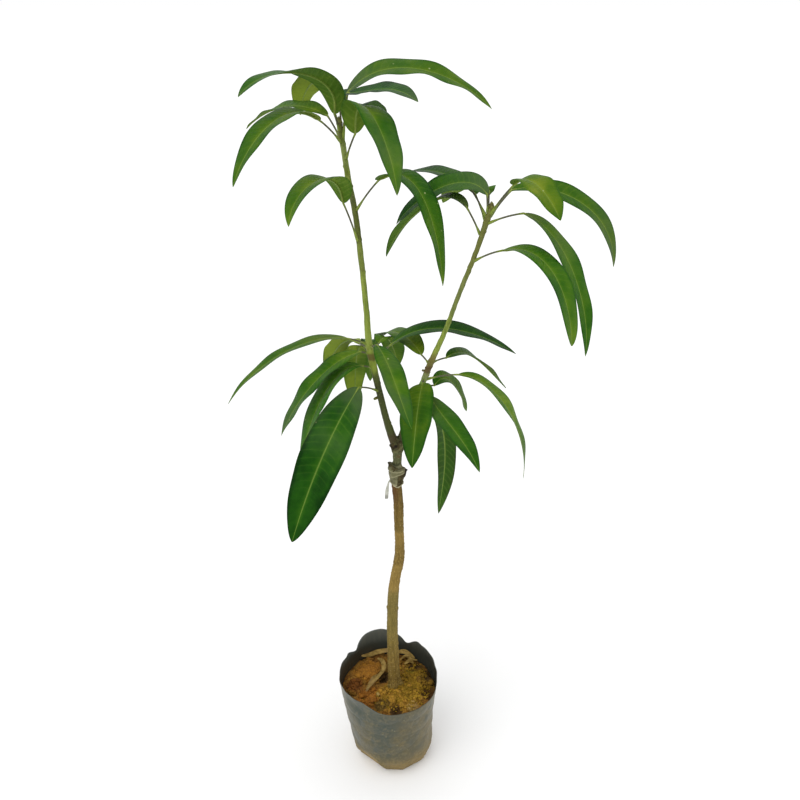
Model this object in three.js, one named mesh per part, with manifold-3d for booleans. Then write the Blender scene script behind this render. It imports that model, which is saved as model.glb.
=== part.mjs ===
// A grafted mango sapling in a soft nursery bag, in millimetres, +Z up.
// The origin is the centre of the bag's flat underside. -Y is the front, and +X the side of the shorter stem.
// A compass turn is 0 along +X, 90 along +Y, and a rise is the angle above the level, both in degrees.
import * as THREE from "three";
import Module from "manifold-3d";

const wasm = await Module();
wasm.setup();

// ---- driving sizes ----

const GAP = 0.3; // left between two pieces that touch
const GROUND = 146; // height of the soil at the stem

const BAG = {
  corners: 40,
  film: 1.4, // thickness of the wall
  lean: -0.06, // how far the bag's middle moves along X for each millimetre up
  underside: 48, // radius of the flat that it stands on
  fold: { turn: 230, width: 24, depth: 7, height: 45 }, // where the film is folded in at the base
  wall: [[1.5, 53], [6, 59], [14, 65], [37, 69.5], [79, 73.5], [121, 77.5], [140, 79.5]], // height, radius
  mouth: 82, // radius at the rim
  rim: [167, 168, 172, 191, 188, 175, 173, 170, 168, 156, 152, 153], // its height, every 30 degrees round
};

const SOIL = {
  rings: [0.22, 0.45, 0.7, 0.9], // shares of its radius
  clear: 0.5, // between its side and the film
  edge: 6, // how much lower it is at the film
  clods: 2.2, // height of the lumps
};

// Each knot of a limb is x, y, height and radius.
const ROOTSTOCK = [
  [1, 0, GROUND, 13], [0.5, 0, 151, 10.8], [0, 0, 160, 9.8], [-1, 0, 200, 9.3], [-2.5, 0, 270, 8.6],
  [-1, 0, 330, 8.2], [3, 0, 368, 7.9], [8, 0, 397, 7.8], [9.5, 0, 425, 7.4], [9, 0, 455, 7.2],
  [7, 0, 510, 7.2], [5, 0, 537, 7.6],
];
const CUP = { foot: 537, top: 568, middle: 6.5, half: [15, 8.5], slant: -0.3 }; // its split, widened top
const WEDGE = { foot: 541, half: [1.2, 7.5], shoulder: 566 }; // the scion's tapered foot in that split
const SCION = [
  [5.5, 0, 566, 6.6], [5.8, 0, 578, 6.2], [6.2, 0, 590, 6.6],
  [6, 0, 600, 9.6], [6, 0, 606, 9.4], [6, 0, 612, 6.5],
];
const LEFT_STEM = [
  [4, 0, 604, 5.2], [-8, 1, 639, 4.8], [-20, 3, 691, 4.6], [-30, 5, 741, 5.2], [-33, 6, 758, 4.8],
  [-37, 9, 820, 3.9], [-45, 12, 908, 3.9], [-50, 14, 950, 3.8], [-57, 15, 985, 4.0], [-61, 16, 1015, 3.6],
  [-65, 17, 1044, 3.8], [-66, 17, 1052, 3.2], [-67, 17, 1060, 0.8],
];
const RIGHT_STEM = [
  [8, 0, 604, 5.0], [16, -3, 635, 4.2], [30, -8, 676, 3.8], [46, -15, 722, 4.2], [52, -18, 741, 4.4],
  [71, -20, 789, 3.3], [89, -24, 845, 3.1], [108, -28, 900, 3.2], [120, -31, 942, 3.8], [124, -32, 956, 3.2],
  [126, -32.5, 964, 0.8],
];

const TAPE = { foot: 536, left: 563, right: 549, thick: 0.9, clear: 1.2 }; // a sleeve, higher on the left
const TAIL = { from: [-5.9, -2, 541], fall: 27, drift: -5, width: 4.5, thick: 0.7 }; // its loose end

const CORNERS = { trunk: 14, stem: 10, tape: 20 }; // sides of each section

const LEAF = {
  stalk: 1.35, // radius of the leaf stalk
  swell: 1.7, // its radius at the stem
  clear: 0.4, // between its foot and the stem
  arch: 0.08, // how far the stalk bows up, as a share of its length
  thick: 0.8, // half thickness of the blade at its midrib
  thin: 0.6, // share of that thickness that is lost towards the tip
  fold: 9, // how far both halves fold up, in degrees
  foot: 0.55, // roundness of the blade's foot
  point: 0.8, // sharpness of its tip
  stalkRows: [0, 0.3, 0.65, 0.95],
  rows: 10,
};

// Every leaf has the height of its foot on the stem and its turn. Its stalk ends, and its tip hangs, so far
// out and up from the stem there. The blade leaves the stalk at one rise and reaches its tip at another, its
// hang, held for the share of its length in grip. Roll turns it about its midrib, and twist adds to that.
const LEAVES = {
  left_top_leaf: [LEFT_STEM, [
    { at: 1047, turn: -132, stalk: [10, 20], tip: [158, 50], rise: 108, hang: -45, width: 41,
      roll: 30, twist: -40, grip: [0.38, 0.37] },
    { at: 1051, turn: 124, stalk: [33, 43], tip: [106, 4], rise: 55, hang: -85, width: 44,
      roll: 10, twist: -6, grip: [0.41, 0.36] },
    { at: 1037, turn: 150, stalk: [21, 26], tip: [155, 1], rise: 22, hang: -40, width: 38,
      roll: -10, grip: [0.37, 0.38] },
    { at: 1032, turn: -125, stalk: [44, 31], tip: [197, -26], rise: 32, hang: -64, width: 39,
      roll: -8, twist: 18, grip: [0.42, 0.32] },
    { at: 1042, turn: 8, stalk: [9, 49], tip: [195, 27], rise: 49, hang: -45, width: 40,
      roll: 22, twist: 6, grip: [0.37, 0.37] },
    { at: 1036, turn: -49, stalk: [14, 56], tip: [144, 55], rise: 6, hang: -26, width: 36,
      roll: 22, twist: -12, grip: [0.41, 0.35] },
    { at: 1044, turn: 61, stalk: [16, 14], tip: [113, -4], rise: 48, hang: -55, width: 36,
      roll: -6, twist: -3, grip: [0.38, 0.39] },
    { at: 1011, turn: -60, stalk: [30, 35], tip: [134, -23], rise: 92, hang: -84, width: 50,
      roll: -14, grip: [0.68, 0.51] },
    { at: 946, turn: -33, stalk: [39, 43], tip: [136, -81], rise: 34, hang: -85, width: 46,
      roll: 2, twist: -2, grip: [0.46, 0.46] },
    { at: 906, turn: -125, stalk: [31, 55], tip: [136, 45], rise: 85, hang: -83, width: 48,
      roll: -2, twist: 15, grip: [0.57, 0.46] },
    { at: 1028, turn: 101, stalk: [22, 46], tip: [115, 36], rise: 45, hang: -40, width: 30 },
  ]],
  right_top_leaf: [RIGHT_STEM, [
    { at: 952, turn: -50, stalk: [39, 41], tip: [115, 11], rise: 50, hang: -55, width: 44,
      twist: 12, grip: [0.38, 0.43] },
    { at: 948, turn: 7, stalk: [28, 32], tip: [172, -72], rise: 16, hang: -88, width: 38,
      roll: 14, twist: 39, grip: [0.29, 0.46] },
    { at: 940, turn: -23, stalk: [48, 16], tip: [141, -161], rise: -13, hang: -93, width: 34,
      roll: 5, twist: 29, grip: [0.28, 0.33] },
    { at: 890, turn: -39, stalk: [43, 20], tip: [150, -82], rise: 22, hang: -84, width: 40,
      roll: 5, twist: -2, grip: [0.49, 0.41] },
    { at: 952, turn: 158, stalk: [4, 23], tip: [127, -25], rise: 55, hang: -56, width: 44,
      roll: -21, twist: -14, grip: [0.32, 0.4] },
    { at: 946, turn: 129, stalk: [36, 34], tip: [187, 22], rise: 18, hang: -30, width: 39,
      roll: -5, grip: [0.28, 0.38] },
    { at: 923, turn: 148, stalk: [22, 32], tip: [146, -49], rise: 56, hang: -72, width: 38,
      roll: -2, twist: 9, grip: [0.34, 0.36] },
    { at: 948, turn: 86, stalk: [15, 29], tip: [50, 14], rise: 42, hang: -60, width: 18,
      roll: 2, grip: [0.39, 0.39] },
    { at: 940, turn: 111, stalk: [34, 29], tip: [137, -2], rise: 29, hang: -39, width: 34,
      roll: 12, twist: 2, grip: [0.38, 0.39] },
  ]],
  left_low_leaf: [LEFT_STEM, [
    { at: 761, turn: -173, stalk: [29, 9], tip: [202, -83], rise: 13, hang: -58, width: 30,
      twist: -6, grip: [0.3, 0.36] },
    { at: 753, turn: 127, stalk: [28, 0], tip: [120, -74], rise: 14, hang: -60, width: 36,
      roll: 16, twist: 8, grip: [0.33, 0.35] },
    { at: 748, turn: -160, stalk: [15, 3], tip: [134, -108], rise: -4, hang: -68, width: 40,
      roll: -5, twist: 3, grip: [0.3, 0.31] },
    { at: 727, turn: -155, stalk: [17, 4], tip: [116, -134], rise: 20, hang: -80, width: 42,
      grip: [0.3, 0.36] },
    { at: 692, turn: -130, stalk: [42, 18], tip: [182, -165], rise: -38, hang: -64, width: 62,
      roll: -22, twist: -8, grip: [0.3, 0.37] },
    { at: 742, turn: 112, stalk: [28, 2], tip: [80, -109], rise: 10, hang: -80, width: 40,
      grip: [0.38, 0.37] },
    { at: 756, turn: -68, stalk: [31, 14], tip: [154, -56], rise: -5, hang: -28, width: 36,
      roll: -10, grip: [0.33, 0.3] },
    { at: 749, turn: 66, stalk: [29, 3], tip: [95, -58], rise: 32, hang: -70, width: 38, twist: -10 },
    { at: 737, turn: 6, stalk: [27, 22], tip: [207, 0], rise: 42, hang: -35, width: 42,
      twist: 12, grip: [0.35, 0.38] },
    { at: 757, turn: 92, stalk: [28, -8], tip: [114, -103], rise: 10, hang: -60, width: 28, roll: 2 },
  ]],
  right_low_leaf: [RIGHT_STEM, [
    { at: 739, turn: 123, stalk: [21, 8], tip: [146, -14], rise: 34, hang: -50, width: 38,
      roll: -7, twist: 9 },
    { at: 742, turn: 40, stalk: [30, 0], tip: [157, -84], rise: 20, hang: -44, width: 33,
      roll: 10, grip: [0.31, 0.38] },
    { at: 717, turn: -12, stalk: [47, 10], tip: [146, -144], rise: 7, hang: -94, width: 36,
      grip: [0.27, 0.45] },
    { at: 702, turn: 38, stalk: [16, -6], tip: [90, -64], rise: 50, hang: -72, width: 37,
      roll: 2, twist: 60, grip: [0.38, 0.42] },
    { at: 716, turn: -99, stalk: [18, 1], tip: [116, -78], rise: -1, hang: -60, width: 46,
      roll: 14, grip: [0.34, 0.32] },
    { at: 687, turn: -66, stalk: [42, 18], tip: [186, -26], rise: -22, hang: -37, width: 36,
      roll: 1, twist: -12, grip: [0.34, 0.31] },
    { at: 694, turn: 30, stalk: [12, -12], tip: [38, -214], rise: -45, hang: -98, width: 42,
      roll: -12, twist: 2, grip: [0.37, 0.29] },
  ]],
};

// ---- vectors, rings and solids ----

const vec = (x, y, z) => new THREE.Vector3(x, y, z);
const UP = vec(0, 0, 1);
const TURN = 2 * Math.PI;

function heading(turn, rise = 0) {
  const [a, b] = [turn, rise].map(THREE.MathUtils.degToRad);
  return vec(Math.cos(a) * Math.cos(b), Math.sin(a) * Math.cos(b), Math.sin(b));
}

const middle = (ring) =>
  ring.reduce((sum, p) => sum.add(p), vec(0, 0, 0)).divideScalar(ring.length);

// A closed geometry through rings of equally many corners, closed at each end by a fan to a point. Patches
// between two rings are split along one diagonal before the corner number mirrored, then along the other.
function skin(rings, start = middle(rings[0]), end = middle(rings.at(-1)), mirrored = Infinity) {
  const corners = rings[0].length;
  const points = [start, ...rings.flat(), end];
  const at = (row, k) => 1 + row * corners + (k % corners);
  const last = rings.length - 1;
  const faces = [];
  for (let k = 0; k < corners; k++) {
    faces.push(0, at(0, k + 1), at(0, k));
    for (let row = 0; row < last; row++) {
      const patch = [at(row, k), at(row, k + 1), at(row + 1, k + 1), at(row + 1, k)];
      const [a, b, c, d] = k < mirrored ? patch : [...patch.slice(1), patch[0]];
      faces.push(a, b, c, a, c, d);
    }
    faces.push(points.length - 1, at(last, k), at(last, k + 1));
  }
  const geometry = new THREE.BufferGeometry().setFromPoints(points);
  return geometry.setIndex(faces);
}

function solid(geometry) {
  return new wasm.Manifold(
    new wasm.Mesh({
      numProp: 3,
      vertProperties: geometry.attributes.position.array,
      triVerts: new Uint32Array(geometry.index.array),
    }),
  );
}

// The largest body of a solid, as a geometry.
function shape(made) {
  const bodies = made.decompose().sort((a, b) => b.volume() - a.volume());
  const mesh = bodies[0].getMesh();
  return new THREE.BufferGeometry()
    .setAttribute("position", new THREE.BufferAttribute(mesh.vertProperties, 3))
    .setIndex(new THREE.BufferAttribute(mesh.triVerts, 1));
}

const pathOf = (knots) => new THREE.CatmullRomCurve3(knots.map(([x, y, z]) => vec(x, y, z)));

function radiusAt(knots, t) {
  const k = Math.min(Math.floor(t * (knots.length - 1)), knots.length - 2);
  return THREE.MathUtils.lerp(knots[k][3], knots[k + 1][3], t * (knots.length - 1) - k);
}

// A smooth limb through its knots, its radii grown by grow: rings across a Catmull-Rom path.
function limb(knots, corners, steps, grow = 0) {
  const path = pathOf(knots);
  const rings = [];
  for (let i = 0; i <= steps; i++) {
    const t = i / steps;
    const radius = radiusAt(knots, t) + grow;
    const along = i ? path.getTangent(t) : UP.clone();
    const side = vec(1, 0, 0).addScaledVector(along, -along.x).normalize();
    const across = along.clone().cross(side);
    rings.push(round(path.getPoint(t), side, across, radius, radius, corners));
  }
  return rings;
}

function round(centre, side, across, wide, deep, corners) {
  return Array.from({ length: corners }, (_, k) => {
    const a = (TURN * k) / corners;
    return centre
      .clone()
      .addScaledVector(side, wide * Math.cos(a))
      .addScaledVector(across, deep * Math.sin(a));
  });
}

// An oval ring in a plane that may slope along X.
function oval(x, z, wide, deep, corners, slope = 0) {
  const ring = round(vec(x, 0, z), vec(1, 0, 0), vec(0, 1, 0), wide, deep, corners);
  ring.forEach((p) => (p.z += (p.x - x) * slope));
  return ring;
}

// Where a limb is at a height, as a share of its path, found by halving.
function shareAt(knots, height) {
  const path = pathOf(knots);
  let [low, high] = [0, 1];
  for (let i = 0; i < 30; i++) {
    const t = (low + high) / 2;
    if (path.getPoint(t).z < height) low = t;
    else high = t;
  }
  return low;
}

// ---- the bag and its soil ----

// Height of the rim, smooth between the marks that stand every 30 degrees.
const rimPath = new THREE.CatmullRomCurve3(
  BAG.rim.map((z, k) => vec(k, 0, z)),
  true,
);
const rimAt = (angle) => rimPath.getPoint(((angle / TURN) % 1 + 1) % 1).z;

// Shallow bulges of the filled film, as a factor of its radius.
const bulge = (a) => 1 + 0.012 * Math.cos(3 * a + 1) + 0.008 * Math.cos(5 * a + 2.2);

// How far the fold pulls the base in. Its turn and width are in degrees.
function foldedIn(z, angle) {
  const { turn, width, depth, height } = BAG.fold;
  const away = ((THREE.MathUtils.radToDeg(angle) - turn + 540) % 360) - 180;
  return depth * Math.exp(-((away / width) ** 2)) * Math.max(0, 1 - z / height);
}

const baseRadius = (angle, less) => (BAG.underside - less) * bulge(angle) - foldedIn(0, angle);

function bagRadius(z, angle) {
  const marks = [...BAG.wall, [rimAt(angle), BAG.mouth]];
  const k = Math.max(1, marks.findIndex(([height]) => height >= z));
  const [[z0, r0], [z1, r1]] = [marks[k - 1], marks[k]];
  return THREE.MathUtils.lerp(r0, r1, (z - z0) / (z1 - z0)) * bulge(angle) - foldedIn(z, angle);
}

function bagRing(radius, height) {
  return Array.from({ length: BAG.corners }, (_, k) => {
    const a = (TURN * k) / BAG.corners;
    const z = height(a);
    return vec(BAG.lean * z + radius(a) * Math.cos(a), radius(a) * Math.sin(a), z);
  });
}

function bag() {
  const heights = BAG.wall.map(([z]) => z);
  const flat = bagRing((a) => baseRadius(a, 0), () => 0);
  const outside = heights.map((z) => bagRing((a) => bagRadius(z, a), () => z));
  const rim = [0, BAG.film].map((inward) => bagRing((a) => bagRadius(rimAt(a), a) - inward, rimAt));
  const inside = heights
    .slice(1)
    .reverse()
    .map((z) => bagRing((a) => bagRadius(z, a) - BAG.film, () => z));
  const floor = bagRing((a) => baseRadius(a, 2), () => BAG.film);
  return skin([flat, ...outside, ...rim, ...inside, floor]);
}

// The soil's uneven top: flat under the stem, with clods, and lower towards the film.
function soilTop(x, y) {
  const out = Math.min(1, Math.hypot(x, y) / bagRadius(GROUND - 6, 0));
  const clods = Math.sin(x / 9 + 1) * Math.cos(y / 11) + 0.6 * Math.sin((x + y) / 6);
  return GROUND - GAP - SOIL.edge * out ** 3 + SOIL.clods * clods * THREE.MathUtils.smoothstep(out, 0.2, 0.6);
}

function soil() {
  const inward = BAG.film + SOIL.clear;
  const shoulderHeight = GROUND - SOIL.edge - 4;
  const heights = BAG.wall.map(([z]) => z).filter((z) => z > BAG.film + GAP && z < shoulderHeight - 1);
  const foot = bagRing((a) => baseRadius(a, 3), () => BAG.film + GAP);
  const sides = heights.map((z) => bagRing((a) => bagRadius(z, a) - inward, () => z + BAG.film));
  const edge = (a) => bagRadius(shoulderHeight, a) - inward;
  const shoulder = bagRing(edge, () => shoulderHeight);
  const cover = [...SOIL.rings].reverse().map((share) =>
    bagRing((a) => edge(a) * share, () => GROUND).map((p) => vec(p.x, p.y, soilTop(p.x, p.y))),
  );
  const crown = middle(cover.at(-1)).setZ(GROUND - GAP);
  return skin([foot, ...sides, shoulder, ...cover], undefined, crown);
}

// ---- the grafted trunk ----

// The scion: a wedge in the split rootstock, a short neck and the knobby node that both stems fork from.
function scionRings(grow) {
  const [shoulder] = SCION;
  const [x, y, z, radius] = SCION.at(-1);
  const neck = [...SCION.slice(0, -1), [x, y, z + grow, radius]];
  const wedge = [0, 0.5, 1].map((share) =>
    oval(
      THREE.MathUtils.lerp(CUP.middle + 1, shoulder[0], share),
      THREE.MathUtils.lerp(WEDGE.foot - grow, WEDGE.shoulder - 4, share),
      THREE.MathUtils.lerp(WEDGE.half[0], shoulder[3], share) + grow,
      THREE.MathUtils.lerp(WEDGE.half[1], shoulder[3] + 2.4, share) + grow,
      CORNERS.trunk,
    ),
  );
  return [...wedge, ...limb(neck, CORNERS.trunk, 10, grow)];
}

// The widened top's middle along X, and half its width and depth, from its foot to its rim.
const cupMiddle = (share) => THREE.MathUtils.lerp(ROOTSTOCK.at(-1)[0], CUP.middle, share);
const cupHalf = (share) => CUP.half.map((half) => THREE.MathUtils.lerp(ROOTSTOCK.at(-1)[3], half, share));

// The rootstock: flared and cut flat at the soil, kinked, and split at its widened top around the wedge.
function rootstock() {
  const trunk = limb(ROOTSTOCK, CORNERS.trunk, 26);
  const cup = [0.35, 0.7, 1].map((share) => {
    const z = THREE.MathUtils.lerp(CUP.foot, CUP.top, share);
    return oval(cupMiddle(share), z, ...cupHalf(share), CORNERS.trunk, CUP.slant * share);
  });
  return shape(solid(skin([...trunk, ...cup])).subtract(solid(skin(scionRings(GAP)))));
}

// A stem, or the room that it takes with a gap round it.
const stem = (knots, grow = 0) => solid(skin(limb(knots, CORNERS.stem, 2 * knots.length, grow)));

// The tape round the graft: a sleeve that follows the widened top.
function tape() {
  const ring = (share, out) => {
    const z = THREE.MathUtils.lerp(TAPE.foot, (TAPE.left + TAPE.right) / 2, share);
    const cupShare = (z - CUP.foot) / (CUP.top - CUP.foot);
    const [wide, deep] = cupHalf(cupShare);
    const slope = (share * (TAPE.right - TAPE.left)) / (2 * CUP.half[0]);
    return oval(cupMiddle(cupShare), z, wide + out, deep + out, CORNERS.tape, slope);
  };
  const sleeve = [0, 0.5, 1].map((share) => ring(share, TAPE.clear + TAPE.thick));
  const core = [-0.3, 0, 0.5, 1, 1.3].map((share) => ring(share, TAPE.clear - 0.2));
  return shape(solid(skin(sleeve)).subtract(solid(skin(core))));
}

// The loose end of the tape: a thin strip that hangs off the sleeve's left side.
function tail() {
  const [x, y, z] = TAIL.from;
  const rings = [0, 0.3, 0.65, 1].map((share) => {
    const centre = vec(x + TAIL.drift * Math.sqrt(share), y, z - TAIL.fall * share);
    return round(centre, vec(0, 1, 0), vec(1, 0, 0), TAIL.width / 2, TAIL.thick / 2, 4).reverse();
  });
  return shape(solid(skin(rings.reverse())));
}

// ---- a leaf ----

// A blade's width along its length, as a share of the greatest: rounded at the foot, drawn out at the tip.
const widest = LEAF.foot / (LEAF.foot + LEAF.point);
const lobe = (u) => u ** LEAF.foot * (1 - u) ** LEAF.point;
const outline = (u) => lobe(u) / lobe(widest);

// A flat four-cornered ring: the left edge, the top, the right edge and the underside.
function leafRing(point, along, left, angle, half, thick, fold) {
  const side = left.clone().addScaledVector(along, -left.dot(along)).normalize();
  const top = along.clone().cross(side);
  side.applyAxisAngle(along, angle);
  top.applyAxisAngle(along, angle);
  const corner = (across, up) => point.clone().addScaledVector(side, across).addScaledVector(top, up);
  return [corner(half, half * fold), corner(0, thick), corner(-half, half * fold), corner(0, -thick)];
}

function leaf(knots, { at, turn, stalk, tip, rise, hang, width, roll = 0, twist = 0, grip = [0.38, 0.38] }) {
  const share = shareAt(knots, at);
  const axis = pathOf(knots).getPoint(share);
  const upStem = pathOf(knots).getTangent(share);
  const out = heading(turn);
  const left = UP.clone().cross(out);
  const offStem = out.clone().addScaledVector(upStem, -out.dot(upStem)).normalize();
  const foot = axis.clone().addScaledVector(offStem, radiusAt(knots, share) + LEAF.clear);
  const spot = ([far, up]) => axis.clone().addScaledVector(out, far).addScaledVector(UP, up);
  const [neck, end] = [spot(stalk), spot(tip)];
  const bow = foot.clone().lerp(neck, 0.5).addScaledVector(UP, LEAF.arch * foot.distanceTo(neck));
  const stalkPath = new THREE.QuadraticBezierCurve3(foot, bow, neck);
  const stalkRings = LEAF.stalkRows.map((t) => {
    const radius = THREE.MathUtils.lerp(LEAF.swell, LEAF.stalk, Math.min(1, 2 * t));
    const along = t ? stalkPath.getTangent(t) : offStem; // the first ring lies flat against the stem
    return leafRing(stalkPath.getPoint(t), along, left, 0, radius, radius, 0);
  });
  const span = neck.distanceTo(end);
  const rib = new THREE.CubicBezierCurve3(
    neck,
    neck.clone().addScaledVector(heading(turn, rise), span * grip[0]),
    end.clone().addScaledVector(heading(turn, hang), -span * grip[1]),
    end,
  );
  const lengths = rib.getLengths(LEAF.rows);
  const fold = Math.sin(THREE.MathUtils.degToRad(LEAF.fold));
  const bladeRings = [];
  for (let row = 1; row < LEAF.rows; row++) {
    const t = row / LEAF.rows;
    const half = (width / 2) * outline(lengths[row] / lengths.at(-1));
    const angle = THREE.MathUtils.degToRad(roll + twist * t);
    const thick = LEAF.thick * (1 - LEAF.thin * t);
    bladeRings.push(leafRing(rib.getPoint(t), rib.getTangent(t), left, angle, half, thick, fold));
  }
  const underside = 2; // its patches are split like those above them, so the two faces never cross
  return skin([...stalkRings, ...bladeRings], undefined, end, underside);
}

// ---- materials and the assembled plant ----

const finish = (color, roughness) => new THREE.MeshStandardMaterial({ color, roughness, metalness: 0 });
const FILM = finish(0x2f3533, 0.45);
const EARTH = finish(0x8a5a22, 0.95);
const BARK = finish(0x8d7a4c, 0.85);
const YOUNG_BARK = finish(0x777a54, 0.8);
const GREEN_STEM = finish(0x71863a, 0.6);
const PLASTIC = finish(0xb6b49a, 0.4);
const LEAF_GREEN = finish(0x35702a, 0.45);

const sapling = new THREE.Group();

function add(name, geometry, material) {
  const mesh = new THREE.Mesh(geometry, material);
  mesh.name = name;
  sapling.add(mesh);
}

add("bag", bag(), FILM);
add("soil", soil(), EARTH);
add("rootstock", rootstock(), BARK);
add("scion", shape(solid(skin(scionRings(0)))), YOUNG_BARK);
add("graft_tape", tape(), PLASTIC);
add("tape_tail", tail(), PLASTIC);

// Both stems are cut clear of the node, and the right one of the left one beside it.
const nodeRoom = solid(skin(scionRings(GAP)));
const leftStem = stem(LEFT_STEM).subtract(nodeRoom);
const rightStem = stem(RIGHT_STEM).subtract(nodeRoom).subtract(stem(LEFT_STEM, GAP));
add("left_stem", shape(leftStem), GREEN_STEM);
add("right_stem", shape(rightStem), GREEN_STEM);

for (const [name, [knots, rows]] of Object.entries(LEAVES)) {
  rows.forEach((row, k) => add(`${name}_${k + 1}`, leaf(knots, row), LEAF_GREEN));
}

export default sapling;
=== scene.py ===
# %% [markdown]
# # A grafted mango sapling in a nursery bag
# The plant is a young mango tree from a nursery: a trunk with a graft half-way up the plant, two green stems
# that fork above it, thirty-seven long leaves in whorls, and a soft black film bag filled with earth.
# The packed model comes first. It fixes where every piece is, so each surface below is drawn round it.

# %% The packed frame
import math

import bpy
import numpy as np
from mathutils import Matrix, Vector


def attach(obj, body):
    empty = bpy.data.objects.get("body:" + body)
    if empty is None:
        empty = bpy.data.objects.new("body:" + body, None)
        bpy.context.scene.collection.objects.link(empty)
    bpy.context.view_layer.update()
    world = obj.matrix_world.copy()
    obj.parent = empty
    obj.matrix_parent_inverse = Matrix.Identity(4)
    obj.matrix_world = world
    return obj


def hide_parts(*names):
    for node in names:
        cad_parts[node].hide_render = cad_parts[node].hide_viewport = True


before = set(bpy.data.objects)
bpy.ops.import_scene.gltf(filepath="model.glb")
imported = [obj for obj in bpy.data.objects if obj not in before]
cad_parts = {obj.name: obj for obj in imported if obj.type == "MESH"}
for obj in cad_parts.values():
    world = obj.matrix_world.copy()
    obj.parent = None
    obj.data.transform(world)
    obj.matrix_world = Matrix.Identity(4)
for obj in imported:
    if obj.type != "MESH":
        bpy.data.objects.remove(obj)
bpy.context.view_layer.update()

# %% [markdown]
# ## Units, directions and a few words for arrays
# The plant's sizes are written in millimetres, as a nursery would write them, and Blender works in metres.
# The arrays hold one point in each row, so a direction is made unit length along the last axis.

# %% Units and vectors
MM = 0.001
TURN = 2 * math.pi
UP = np.array([0.0, 0.0, 1.0])
RIGHT = np.array([1.0, 0.0, 0.0])


def unit(vectors):
    """Each vector over its own length."""
    return vectors / np.linalg.norm(vectors, axis=-1, keepdims=True)


def ease(value, low=0.0, high=1.0):
    """0 below low, 1 above high and a smooth S between: 3 t^2 - 2 t^3 of the share t of the way."""
    t = np.clip((value - low) / (high - low), 0, 1)
    return t * t * (3 - 2 * t)


def hump(distance, radius):
    """A smooth hump, 1 in the middle and almost nothing past the radius: exp(-2 (distance / radius)^2)."""
    return np.exp(-2 * (distance / radius) ** 2)


def heading(turn, rise=0.0):
    """The direction at a compass turn from +X and at a rise above the level, both in degrees."""
    a, b = math.radians(turn), math.radians(rise)
    return np.array([math.cos(a) * math.cos(b), math.sin(a) * math.cos(b), math.sin(b)])


print("a turn of 30 degrees is the direction", np.round(heading(30), 3).tolist())

# %% [markdown]
# ## The camera
# The eye stands a little above the top leaves and looks down at the bag. A camera in Blender looks along
# its own -Z, so a turn of 65 degrees about X tips it from straight down to 25 degrees below the level.

# %% Camera
eye = bpy.data.cameras.new("eye")
eye.lens = 38.07
eye.sensor_width = 36
eye.clip_end = 5000
camera = bpy.data.objects.new("camera", eye)
camera.location = (0.010, -1.100, 1.190)
camera.rotation_euler = (math.radians(65), 0, 0)
bpy.context.scene.collection.objects.link(camera)
bpy.context.scene.camera = camera
print("camera at", tuple(camera.location))

# %% [markdown]
# ## Unevenness without a picture
# Nothing that grows is smooth, and a bag of earth is not smooth either. Two kinds of seeded unevenness are
# enough. Waves add fourteen sines that run in random directions, and give slow, soft swellings. Cells give
# every point the distance to the nearest of many scattered seeds, and make facets that meet in creases.
# Both are functions of the place alone, so a surface and its neighbour agree where they meet.

# %% Waves and cells
def waves(points, length, seed, count=14):
    """Soft unevenness from about -1 to 1: a scaled sum of sines, each of a random heading and a wavelength
    near length."""
    random = np.random.default_rng(seed)
    direction = unit(random.normal(size=(count, 3)))
    pitch = length * random.uniform(0.7, 1.6, count)
    phase = random.uniform(0, TURN, count)
    return np.sin(points @ (TURN * direction / pitch[:, None]).T + phase).sum(-1) * math.sqrt(1.2 / count)


CUBE_PRIMES = (73856093, 19349663, 83492791)
SEED_PRIME = 7919
SHUFFLES = (1103515245, 69069, 22695477)
HASH_TOP = 1023


def cells(points, spacing, seed):
    """Distance to the nearest seed, and how much further the second one is, both over the spacing. The seeds
    stand one in each cube of a grid, moved about in it by a hash of the cube's three whole numbers."""
    grid = np.floor(points / spacing).astype(np.int64)
    first = np.full(points.shape[:-1], 9.0)
    second = first.copy()
    for step in np.ndindex(3, 3, 3):
        cube = grid + np.array(step) - 1
        mixed = np.bitwise_xor.reduce(cube * CUBE_PRIMES, axis=-1) ^ seed * SEED_PRIME
        share = [((mixed * factor) >> 9 & HASH_TOP) / HASH_TOP for factor in SHUFFLES]
        far = np.linalg.norm(cube + np.stack(share, -1) - points / spacing, axis=-1)
        second = np.minimum(second, np.maximum(first, far))
        first = np.minimum(first, far)
    return first, second - first


print("waves at the origin", round(float(waves(np.zeros((1, 3)), 0.05, 1)[0]), 3))

# %% [markdown]
# ## Surfaces from rows of points
# A stem, a leaf, a bag and a clod are all the same thing to a mesh: rows of points that wrap round, closed
# at both ends. Subdivision or sculpting would also do, but with whole arrays the shape stays a formula that
# can be read and changed. One function turns rows into faces with their UV map.

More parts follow.
